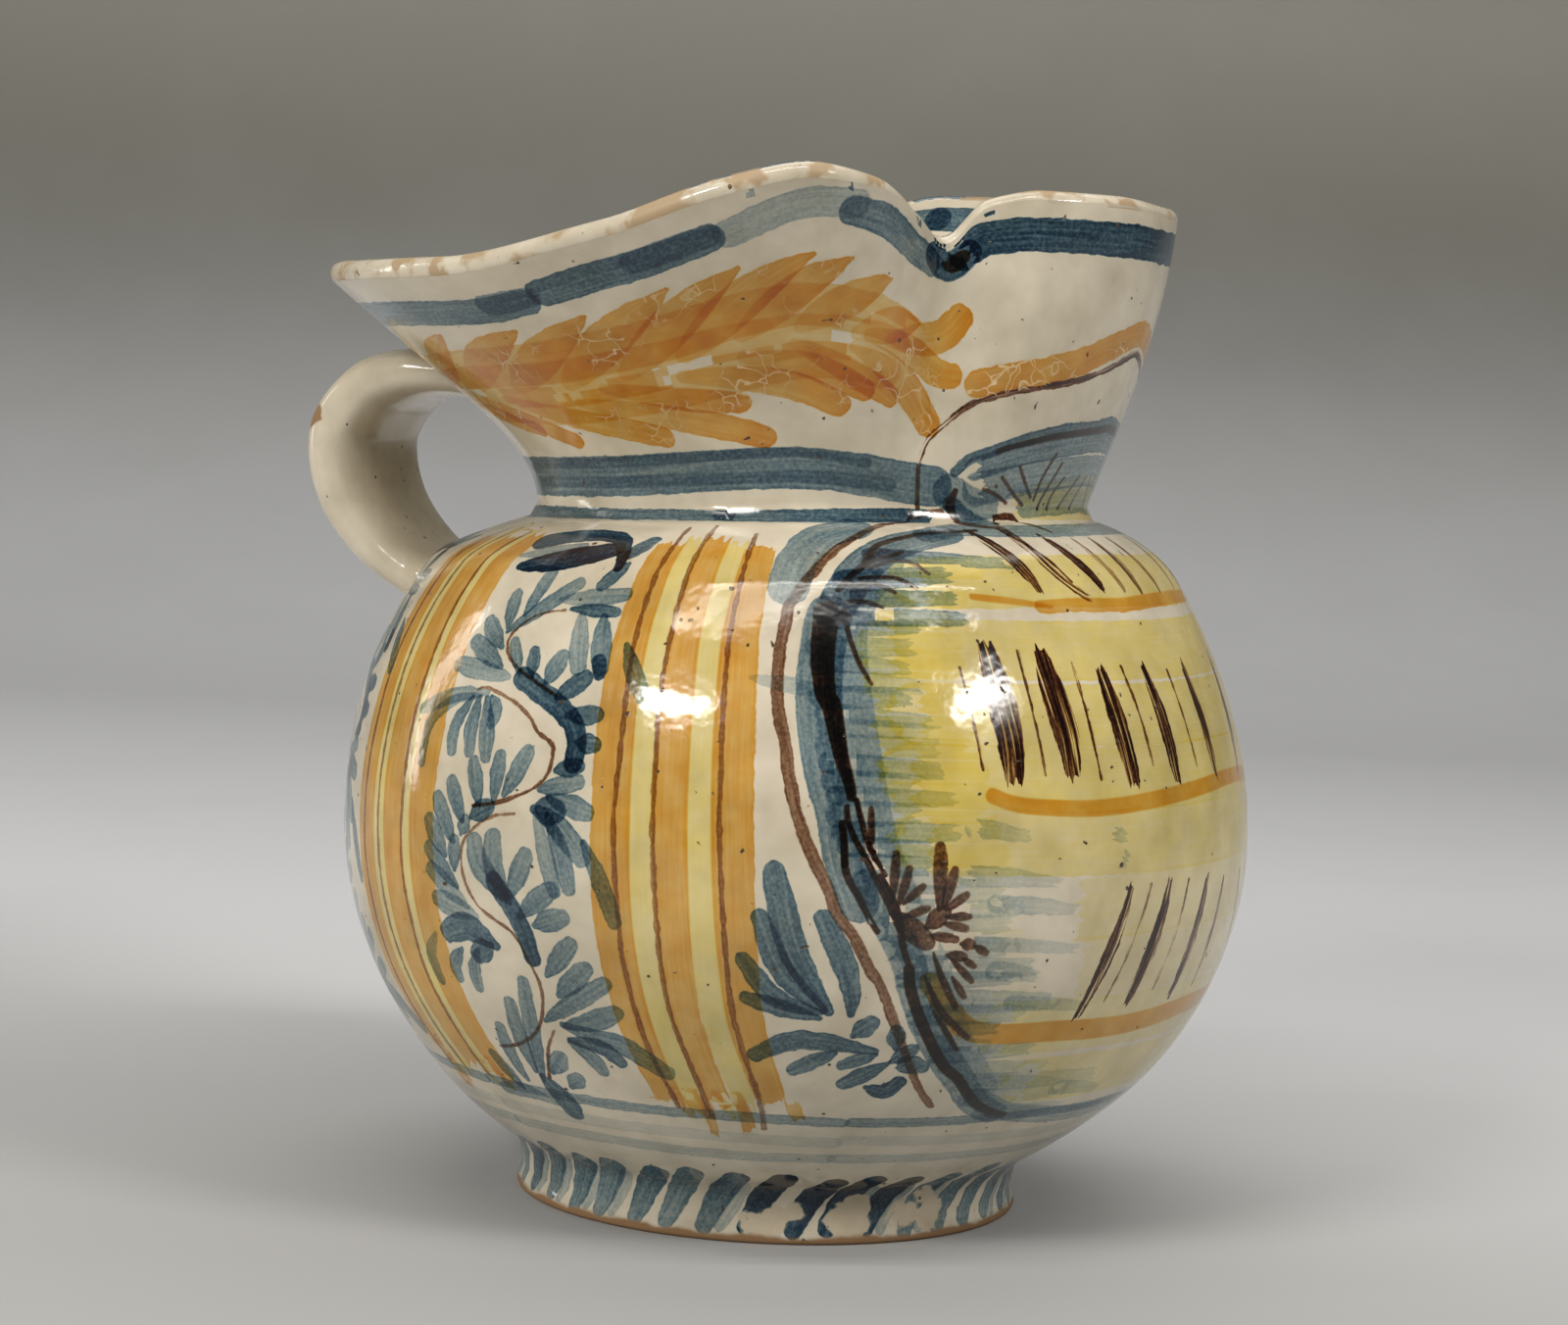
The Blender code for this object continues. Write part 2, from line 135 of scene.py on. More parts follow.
@dataclass
class Body:
    """Turned foot, belly and shoulder."""

    foot_radius: float = 0.0482
    foot_waist: Row = (0.0473, 0.0045)
    foot_top: Row = (0.0481, 0.0085)
    foot_edge: float = 0.0008
    foot_dip: Row = (0.0005, 0.0004)
    belly_radius: float = 0.0865
    belly_height: float = 0.0723
    half_above: float = 0.0857
    half_below: float = 0.0752
    belly_start: float = 0.0125
    belly_end: float = 0.1210
    lean: tuple[Row, ...] = ((0.008, 0.0), (0.034, 0.0023), (0.070, 0.0025), (0.108, 0.0020),
                             (0.133, 0.0026))
    neck_tilt: Row = (0.048, -0.018)
    tilt_start: float = 0.118
    crease: Row = (0.0537, 0.1306)
    shoulder_reach: float = 0.0045
    # how far out and how far down the shoulder's curve aims before it ends in the crease
    crease_aim: Row = (0.0035, 0.0008)
    joint: Row = (0.1070, 0.1196)

    def radius_at(self, height: float) -> float:
        """Outer radius of the belly at a height."""
        half = self.half_above if height > self.belly_height else self.half_below
        return self.belly_radius * math.sqrt(1.0 - ((height - self.belly_height) / half) ** 2)

    def foot_rows(self) -> list[Row]:
        """Foot from its underside's edge to the start of the belly."""
        edge, radius = self.foot_edge, self.foot_radius
        start = self.radius_at(self.belly_start)
        middle = ((self.foot_top[0] + start) / 2 - self.foot_dip[0],
                  (self.foot_top[1] + self.belly_start) / 2 + self.foot_dip[1])
        keys = [(radius, edge), self.foot_waist, self.foot_top, middle, (start, self.belly_start)]
        rows = [(radius - edge, 0.0), (radius - edge * 0.3, edge * 0.3), (radius, edge)]
        for low, high in zip(keys, keys[1:]):
            for i in (1, 2):
                rows.append((low[0] + (high[0] - low[0]) * i / 2,
                             low[1] + (high[1] - low[1]) * i / 2))
        return rows

    def belly_rows(self, below: int, above: int, joint_rows: int) -> list[Row]:
        """Belly from the foot over the handle's lower joint to the shoulder.

        Args:
            below: steps under the widest circle.
            above: steps from there to the handle's joint.
            joint_rows: steps along the joint.

        Returns:
            Rows of radius and height.
        """
        heights = []
        low = math.acos((self.belly_height - self.belly_start) / self.half_below)
        for i in range(1, below + 1):
            turn = low + (math.pi / 2 - low) * i / below
            heights.append(self.belly_height - self.half_below * math.cos(turn))
        high = math.asin((self.joint[0] - self.belly_height) / self.half_above)
        for i in range(1, above):
            heights.append(self.belly_height + self.half_above * math.sin(high * i / above))
        low, high = self.joint
        heights += [low + (high - low) * i / joint_rows for i in range(joint_rows + 1)]
        heights.append(self.belly_end)
        return [(self.radius_at(height), height) for height in heights]

    def shoulder_rows(self, steps: int) -> list[Row]:
        """Curve from the belly over the shoulder into the crease under the neck."""
        start = self.radius_at(self.belly_end)
        slope = (start - self.radius_at(self.belly_end - 0.001)) / 0.001
        reach = self.shoulder_reach
        rows = []
        for i in range(1, steps + 1):
            t = i / steps
            rows.append((bezier(start, start + slope * reach, self.crease[0] + self.crease_aim[0],
                                self.crease[0], t),
                         bezier(self.belly_end, self.belly_end + reach,
                                self.crease[1] - self.crease_aim[1], self.crease[1], t)))
        return rows

    def place(self, angle: float, radius: float, height: float) -> Vector:
        """Point at an angle, set forward as far as the body is at that height."""
        turn = math.radians(angle)
        kept = min(max(height, self.lean[0][0]), self.lean[-1][0])
        shift = interpolate(self.lean, kept, 1)
        return Vector((radius * math.cos(turn) + shift, radius * math.sin(turn), height))

    def neck_rise(self, angle: float, radius: float) -> float:
        """Height that the tilt of the neck adds at an angle and radius."""
        turn = math.radians(angle)
        return radius * (self.neck_tilt[0] * math.cos(turn) + self.neck_tilt[1] * math.sin(turn))

    def place_turned(self, angle: float, radius: float, height: float) -> Vector:
        """Point of the turned body, whose top tilts with the neck."""
        share = smooth_step(self.tilt_start, self.crease[1], height)
        rise = self.neck_rise(angle, radius) * share
        return self.place(angle, radius, height) + Vector((0.0, 0.0, rise))

    def outer_radius(self, height: float) -> float:
        """Outer radius at any height from the foot to the crease."""
        if height < self.belly_start:
            rows = self.foot_rows()
        elif height <= self.belly_end:
            return self.radius_at(height)
        else:
            rows = self.shoulder_rows(24)
        return float(np.interp(height, [row[1] for row in rows], [row[0] for row in rows]))


@dataclass
class Mouth:
    """Neck and flared mouth with its pinched pouring lobe."""

    body: Body
    neck_radius: float = 0.0525
    neck_height: float = 0.1330
    rim_height: float = 0.1949
    wall: float = 0.0056
    lip_wall: float = 0.0044
    joint: Row = (0.48, 0.75)
    # angle from the spout in degrees, radius, drop below the highest peak
    rim: tuple[Station, ...] = (
        (-180.0, 0.0947, 0.0224), (-150.0, 0.0940, 0.0227), (-120.0, 0.0898, 0.0214),
        (-97.0, 0.0866, 0.0138), (-81.0, 0.0843, 0.0049), (-71.0, 0.0802, 0.0015),
        (-62.0, 0.0719, 0.0027), (-54.0, 0.0600, 0.0071), (-46.5, 0.0541, 0.0111),
        (-39.0, 0.0560, 0.0041), (-30.0, 0.0610, 0.0020), (-15.0, 0.0657, 0.0020),
        (3.0, 0.0670, 0.0029), (20.0, 0.0660, 0.0027), (35.0, 0.0610, 0.0029),
        (44.0, 0.0560, 0.0046), (52.0, 0.0541, 0.0101), (60.0, 0.0600, 0.0059),
        (68.0, 0.0719, 0.0017), (78.0, 0.0808, 0.0000), (92.0, 0.0843, 0.0001),
        (108.0, 0.0865, 0.0079), (128.0, 0.0898, 0.0174), (152.0, 0.0937, 0.0214),
        (180.0, 0.0947, 0.0224),
    )

    def profile(self, angle: float, t: float) -> Row:
        """Outer radius and height at an angle, from the neck at 0 to the rim at 1."""
        turn = (angle + 180.0) % 360.0 - 180.0
        radius = interpolate(self.rim, turn, 1)
        height = self.rim_height - interpolate(self.rim, turn, 2)
        back = smooth_step(38.0, 75.0, abs(turn))
        base = self.neck_height + self.body.neck_rise(angle, self.neck_radius)
        flare = bezier(0.0, 0.10 - 0.10 * back, 0.92 - 0.48 * back, 1.0, t)
        rise = bezier(0.0, 0.12 + 0.16 * back, 0.55 - 0.02 * back, 1.0, t)
        return (self.neck_radius + (radius - self.neck_radius) * flare,
                base + (height - base) * rise)

    def outer(self, angle: float, t: float) -> Vector:
        """Point on the outer face."""
        return self.body.place(angle, *self.profile(angle, t))

    def normal(self, angle: float, t: float) -> Vector:
        """Outward direction of the outer face."""
        along = self.outer(angle, min(t + 0.01, 1.0)) - self.outer(angle, max(t - 0.01, 0.0))
        around = self.outer(angle + 0.8, t) - self.outer(angle - 0.8, t)
        return around.cross(along).normalized()

    def inner(self, angle: float, t: float) -> Vector:
        """Point on the inner face, one wall inside the outer face."""
        wall = self.wall + (self.lip_wall - self.wall) * t
        return self.outer(angle, t) - self.normal(angle, t) * wall

    def lip(self, angle: float, turn: float) -> Vector:
        """Point on the rounded lip, from the outer face at 0 to the inner face at 180 degrees."""
        half = self.lip_wall / 2
        normal = self.normal(angle, 1.0)
        along = (self.outer(angle, 1.0) - self.outer(angle, 0.97)).normalized()
        centre = self.outer(angle, 1.0) - normal * half - along * half
        radians = math.radians(turn)
        return centre + normal * half * math.cos(radians) + along * half * math.sin(radians)


def next_ring(bm: bmesh.types.BMesh, ring: list, points: Sequence[Vector]) -> list:
    """Extrudes the open ring of vertices and moves the new ring to the given points.

    Args:
        bm: mesh that is being built.
        ring: the open ring.
        points: places of the new ring.

    Returns:
        The new ring.
    """
    edges = [bm.edges.get((vert, ring[(i + 1) % len(ring)])) for i, vert in enumerate(ring)]
    made = bmesh.ops.extrude_edge_only(bm, edges=edges)["geom"]
    new = {item for item in made if isinstance(item, bmesh.types.BMVert)}
    after = []
    for vert, point in zip(ring, points):
        twin = next(e.other_vert(vert) for e in vert.link_edges if e.other_vert(vert) in new)
        twin.co = point
        after.append(twin)
    return after


@dataclass
class Strap:
    """Strap handle, drawn out of the mouth's back and led down to the shoulder."""

    mouth: Mouth
    path: tuple[Row, ...] = ((-0.0795, 0.1541), (-0.0876, 0.1505), (-0.0933, 0.1408),
                             (-0.0894, 0.1271), (-0.0763, 0.1154))
    start_direction: Row = (-0.95, -0.30)
    end_direction: Row = (0.88, -0.46)
    width: float = 0.0350
    thickness: float = 0.0138
    end_width: float = 0.0330
    end_thickness: float = 0.0105
    squareness: float = 2.7
    sections: int = 46
    joint_sections: int = 9
    half_angle: float = 13.5
    # how far the fillet runs along the wall and back along the strap, as shares
    fillet: Row = (0.16, 0.45)

    def on_section(self, across: float, through: float, width: float, thickness: float) -> Row:
        """Place on the rounded section for a place on the edge of a square."""
        x = across * math.sqrt(1 - through * through / 2)
        y = through * math.sqrt(1 - across * across / 2)
        power = 2 / self.squareness
        wide = math.copysign(abs(x) ** power, x)
        thick = math.copysign(abs(y) ** power, y)
        return wide * width / 2, thick * thickness / 2

    def frames(self) -> list[tuple]:
        """Centre, direction, outward normal, width and thickness of each section."""
        stations = [Vector((x, 0.0, z)) for x, z in self.path]
        first = Vector((self.start_direction[0], 0.0, self.start_direction[1])).normalized()
        last = Vector((self.end_direction[0], 0.0, self.end_direction[1])).normalized()
        count = len(stations) - 1
        tangents = [first * (stations[1] - stations[0]).length]
        tangents += [(stations[i + 1] - stations[i - 1]) / 2 for i in range(1, count)]
        tangents.append(last * (stations[-1] - stations[-2]).length)
        frames = []
        for i in range(self.sections):
            on = i / (self.sections - 1) * count
            k = min(int(on), count - 1)
            u = on - k
            a, b, ta, tb = stations[k], stations[k + 1], tangents[k], tangents[k + 1]
            centre = (a * (1 + 2 * u) * (1 - u) ** 2 + ta * u * (1 - u) ** 2
                      + b * u * u * (3 - 2 * u) - tb * u * u * (1 - u))
            direction = ((a - b) * (6 * u * u - 6 * u) + ta * (1 - 4 * u + 3 * u * u)
                         + tb * (3 * u * u - 2 * u)).normalized()
            normal = Vector((direction.z, 0.0, -direction.x))
            full = math.sin(math.pi * on / count)
            width = self.end_width + (self.width - self.end_width) * full
            thick = self.end_thickness + (self.thickness - self.end_thickness) * full
            frames.append((centre, direction, normal, width, thick))
        return frames

    def section_ring(self, section: tuple, places: Sequence[Row]) -> list[Vector]:
        """Points of the strap's outline in one of its frames."""
        centre, _, normal, width, thickness = section
        points = []
        for across, through in places:
            wide, thick = self.on_section(across, through, width, thickness)
            points.append(centre + Vector((0.0, -wide, 0.0)) + normal * thick)
        return points

    def upper_point(self, across: float, up: float) -> Vector:
        """Point of the mouth's face, for a place on the upper joint's square."""
        low, high = self.mouth.joint
        return self.mouth.outer(180.0 + across * self.half_angle,
                                (low + high + up * (high - low)) / 2)

    def lower_point(self, across: float, down: float) -> Vector:
        """Point of the shoulder, for a place on the lower joint's square."""
        body = self.mouth.body
        low, high = body.joint
        height = (low + high - down * (high - low)) / 2
        return body.place_turned(180.0 + across * self.half_angle, body.radius_at(height), height)

    @staticmethod
    def patch_loop(grid: list, rows: Sequence[int], columns: Sequence[int], flip: bool) -> list:
        """Vertices round a rectangle of the grid, with their places on the strap's section."""
        loop = []
        last_row, last_column = len(rows) - 1, len(columns) - 1
        for i in range(last_column):
            loop.append((rows[0], columns[i], -1 + 2 * i / last_column, -1))
        for i in range(last_row):
            loop.append((rows[i], columns[-1], 1, -1 + 2 * i / last_row))
        for i in range(last_column, 0, -1):
            loop.append((rows[-1], columns[i], -1 + 2 * i / last_column, 1))
        for i in range(last_row, 0, -1):
            loop.append((rows[i], columns[0], -1, -1 + 2 * i / last_row))
        sign = -1 if flip else 1
        return [(grid[row][column], across, sign * through)
                for row, column, across, through in loop]

    def fillet_ring(self, start: Sequence[Vector], end: Sequence[Vector], direction: Vector,
                    middle: Vector, share: float) -> list[Vector]:
        """Ring between the wall and the strap, with a soft fillet at the wall."""
        points = []
        for a, d in zip(start, end):
            b = a + (middle - a) * self.fillet[0]
            c = d - direction * (d - a).length * self.fillet[1]
            points.append(bezier(a, b, c, d, share))
        return points

    def add(self, bm: bmesh.types.BMesh, grid: list, upper_rows: Sequence[int],
            lower_rows: Sequence[int], columns: Sequence[int]) -> None:
        """Opens the wall at both joints and draws the strap out between them.

        Args:
            bm: mesh of the vessel.
            grid: its rings of vertices.
            upper_rows: rings at the upper joint.
            lower_rows: rings at the lower joint.
            columns: columns at the joints.
        """
        upper = self.patch_loop(grid, upper_rows, columns, False)
        lower = self.patch_loop(grid, lower_rows, columns, True)
        for loop, point_at in ((upper, self.upper_point), (lower, self.lower_point)):
            for vert, across, through in loop:
                vert.co = point_at(*self.on_section(across, through, 2.0, 2.0))
        openings = []
        for rows in (upper_rows, lower_rows):
            inside = {grid[row][column] for row in rows for column in columns}
            faces = {face for vert in inside for face in vert.link_faces}
            openings += [face for face in faces if all(v in inside for v in face.verts)]
        bmesh.ops.delete(bm, geom=openings, context="FACES")
        places = [(across, through) for _, across, through in upper]
        frames = self.frames()
        ring = [vert for vert, _, _ in upper]
        start = [vert.co.copy() for vert in ring]
        middle = sum(start, Vector()) / len(start)
        first = self.section_ring(frames[0], places)
        count = self.joint_sections
        for i in range(1, count + 1):
            ring = next_ring(bm, ring, self.fillet_ring(start, first, frames[0][1], middle,
                                                        i / (count + 1)))
        for section in frames:
            ring = next_ring(bm, ring, self.section_ring(section, places))
        by_place = {(round(a, 4), round(t, 4)): vert for vert, a, t in lower}
        target = [by_place[(round(a, 4), round(t, 4))] for a, t in places]
        end = [vert.co.copy() for vert in target]
        middle = sum(end, Vector()) / len(end)
        last = [vert.co.copy() for vert in ring]
        for i in range(count, 0, -1):
            ring = next_ring(bm, ring, self.fillet_ring(end, last, -frames[-1][1], middle,
                                                        i / (count + 1)))
        edges = []
        for loop in (ring, target):
            edges += [bm.edges.get((v, loop[(i + 1) % len(loop)])) for i, v in enumerate(loop)]
        bmesh.ops.bridge_loops(bm, edges=edges)


@dataclass
class Vessel:
    """The whole fired piece as one fine closed mesh, in the form of the CAD node."""

    mouth: Mouth
    strap: Strap
    # steps between angles in degrees, closer together at the pinched notches
    spans: tuple[tuple[float, float, int], ...] = (
        (-180.0, -166.5, 11), (-166.5, -70.0, 80), (-70.0, -30.0, 46), (-30.0, 35.0, 56),
        (35.0, 75.0, 46), (75.0, 166.5, 76), (166.5, 180.0, 11))
    belly_steps: tuple[int, int] = (42, 24)
    shoulder_steps: int = 18
    joint_rows: int = 8
    mouth_steps: tuple[int, int] = (22, 12)
    lip_turns: tuple[float, ...] = (0.0, 22.0, 45.0, 68.0, 90.0, 112.0, 135.0, 158.0, 180.0)
    inner_shares: tuple[float, ...] = (0.98, 0.95, 0.92, 0.89, 0.86, 0.82, 0.78, 0.73, 0.68, 0.62,
                                       0.55, 0.48, 0.40, 0.32, 0.24, 0.16)
    floor_shares: tuple[float, ...] = (0.92, 0.84, 0.74, 0.64, 0.5, 0.38)
    floor_height: float = 0.009
    floor_radius: float = 0.008
    floor_power: float = 3.2
    sharp_from: float = 50.0

    def angles(self) -> list[float]:
        """Angles of the columns round the jug."""
        return [start + (end - start) * i / steps
                for start, end, steps in self.spans for i in range(steps)]

    def mouth_shares(self) -> list[float]:
        """Shares of the mouth's rise for its rows, with the handle's joint between two."""
        low, high = self.mouth.joint
        below, above = self.mouth_steps
        rows = self.joint_rows
        shares = [low * i / below for i in range(1, below)]
        shares += [low + (high - low) * i / rows for i in range(rows + 1)]
        return shares + [high + (1.0 - high) * i / above for i in range(1, above)]

    def inner_rows(self, rows: Sequence[Row]) -> list[Row]:
        """Profile one wall inside the given rows of radius and height."""
        inside = []
        wall = self.mouth.wall
        for i in range(1, len(rows) - 1):
            dr = rows[i + 1][0] - rows[i - 1][0]
            dz = rows[i + 1][1] - rows[i - 1][1]
            size = math.hypot(dr, dz)
            inside.append((rows[i][0] - wall * dz / size, rows[i][1] + wall * dr / size))
        return inside

    def rings(self, angles: Sequence[float]) -> list[tuple[list[Vector], Zone]]:
        """Rings from the underside's edge, up the outside, over the lip and down the inside.

        Args:
            angles: angles of the columns.

        Returns:
            Points of each ring and the zone that it ends.
        """
        body, mouth = self.mouth.body, self.mouth
        foot = body.foot_rows()
        belly = body.belly_rows(*self.belly_steps, self.joint_rows)
        shoulder = body.shoulder_rows(self.shoulder_steps)
        top = [(mouth.neck_radius, mouth.neck_height)]
        rings = [([body.place_turned(a, *row) for a in angles], Zone.FOOT) for row in foot]
        rings += [([body.place_turned(a, *row) for a in angles], Zone.BODY)
                  for row in belly + shoulder + top]
        rings += [([mouth.outer(a, t) for a in angles], Zone.MOUTH)
                  for t in self.mouth_shares()]
        rings += [([mouth.lip(a, turn) for a in angles], Zone.LIP) for turn in self.lip_turns]
        rings += [([mouth.inner(a, t) for a in angles], Zone.INNER_MOUTH)
                  for t in self.inner_shares]
        wall_rows = belly[0:len(belly) - 1:3] + shoulder[5::4]
        wall_rows.append((mouth.neck_radius, mouth.neck_height + 0.002))
        inside = self.inner_rows(wall_rows)
        rings += [([body.place_turned(a, *row) for a in angles], Zone.INSIDE)
                  for row in reversed(inside)]
        edge_radius, edge_height = inside[0]
        for part in (*self.floor_shares, self.floor_radius / edge_radius):
            rise = (edge_height - self.floor_height) * part ** self.floor_power
            rings.append(([body.place(a, edge_radius * part, self.floor_height + rise)
                           for a in angles], Zone.INSIDE))
        return rings

    def build(self) -> bpy.types.Object:
        """Makes the mesh and its zone attribute.

        Returns:
            The new object, linked to the scene.
        """
        angles = self.angles()
        rings = self.rings(angles)
        bm = bmesh.new()
        zone = bm.verts.layers.int.new("zone")
        first = bmesh.ops.create_circle(bm, cap_ends=True, segments=len(angles),
                                        radius=self.mouth.body.foot_radius)
        ring = first["verts"]
        for vert, point in zip(ring, rings[0][0]):
            vert.co = point
            vert[zone] = Zone.FOOT.value
        grid = [ring]
        for points, part in rings[1:]:
            ring = next_ring(bm, ring, points)
            for vert in ring:
                vert[zone] = part.value
            grid.append(ring)
        floor = [bm.edges.get((vert, ring[(i + 1) % len(ring)])) for i, vert in enumerate(ring)]
        bmesh.ops.edgeloop_fill(bm, edges=floor)
        body = self.mouth.body
        foot_count = len(body.foot_rows())
        belly_count = len(body.belly_rows(*self.belly_steps, self.joint_rows))
        half = self.spans[0][2]
        columns = list(range(-half, half + 1))
        low = foot_count + belly_count - self.joint_rows - 2
        high = foot_count + belly_count + self.shoulder_steps + self.mouth_steps[0]
        before = set(bm.verts)
        self.strap.add(bm, grid, list(range(high, high + self.joint_rows + 1)),
                       list(range(low, low + self.joint_rows + 1)), columns)
        for vert in bm.verts:
            if vert not in before:
                vert[zone] = Zone.HANDLE.value
        loose = [vert for vert in bm.verts if not vert.link_faces]
        bmesh.ops.delete(bm, geom=loose, context="VERTS")
        bmesh.ops.recalc_face_normals(bm, faces=bm.faces)
        mesh = bpy.data.meshes.new("painted_jug")
        bm.to_mesh(mesh)
        bm.free()
        mesh.shade_smooth()
        mesh.set_sharp_from_angle(angle=math.radians(self.sharp_from))
        jug = bpy.data.objects.new("painted_jug", mesh)
        bpy.context.collection.objects.link(jug)
        return jug


# a place that no stroke reaches, in millimetres
FAR_OFF = 999.0
# a stroke's mark is its seed; from here on it is a dry stroke's, and below zero a flat one's
DRY_FROM = 100.0
CURVE_STEPS = 4
# millimetres of shoulder for one share below the neck, and about the belly's radius
SHOULDER_MM = 40.0
BELLY_MM = 86.0


@dataclass(frozen=True)
class Stroke:
    """One pull of the brush: its path, and its width and load at the start and the end."""

    points: tuple[Row, ...]
    start: float
    end: float
    swell: float = 0.0
    load: tuple[float, float] = (1.0, 1.0)
    flat: bool = False
    dry: bool = False

    def moved(self, shift: float = 0.0, flip: bool = False, drop: float = 0.0) -> "Stroke":
        """The same stroke further round the jug.

        Args:
            shift: degrees that are added to its angles.
            flip: whether its angles change sign first.
            drop: added to its second coordinate.

        Returns:
            The new stroke.
        """
        sign = -1.0 if flip else 1.0
        return replace(self, points=tuple((sign * a + shift, h + drop) for a, h in self.points))


def leaf(*points: Row, width: float, load: Row = (0.75, 1.0)) -> Stroke:
    """A leaf stroke: thin where it leaves the stem, swelling to a full rounded tip."""
    return Stroke(points, width * 0.35, width * 0.82, width * 0.22, load)


def line(*points: Row, width: float, end: float = 0.0, load: Row = (0.9, 0.7)) -> Stroke:
    """A line of nearly even width."""
    return Stroke(points, width, end or width, 0.0, load)


def sampled(points: Sequence[Row]) -> list[Row]:
    """Smooth curve through the points, as closely spaced points."""
    if len(points) == 2:
        (a, b), (c, d) = points
        return [(a + (c - a) * i / 6, b + (d - b) * i / 6) for i in range(7)]
    rows = []
    padded = [points[0], *points, points[-1]]
    for k in range(1, len(padded) - 2):
        p0, p1, p2, p3 = padded[k - 1:k + 3]
        for i in range(CURVE_STEPS):
            u = i / CURVE_STEPS
            rows.append(tuple(
                0.5 * (2 * b + (c - a) * u + (2 * a - 5 * b + 4 * c - d) * u * u
                       + (3 * b - a - 3 * c + d) * u ** 3)
                for a, b, c, d in zip(p0, p1, p2, p3)))
    rows.append(points[-1])
    return rows


@dataclass
class Layer:
    """Brush marks of one coat that don't touch each other, kept as mesh attributes."""

    place: np.ndarray
    size: np.ndarray
    load: np.ndarray
    tint: np.ndarray
    used: np.ndarray


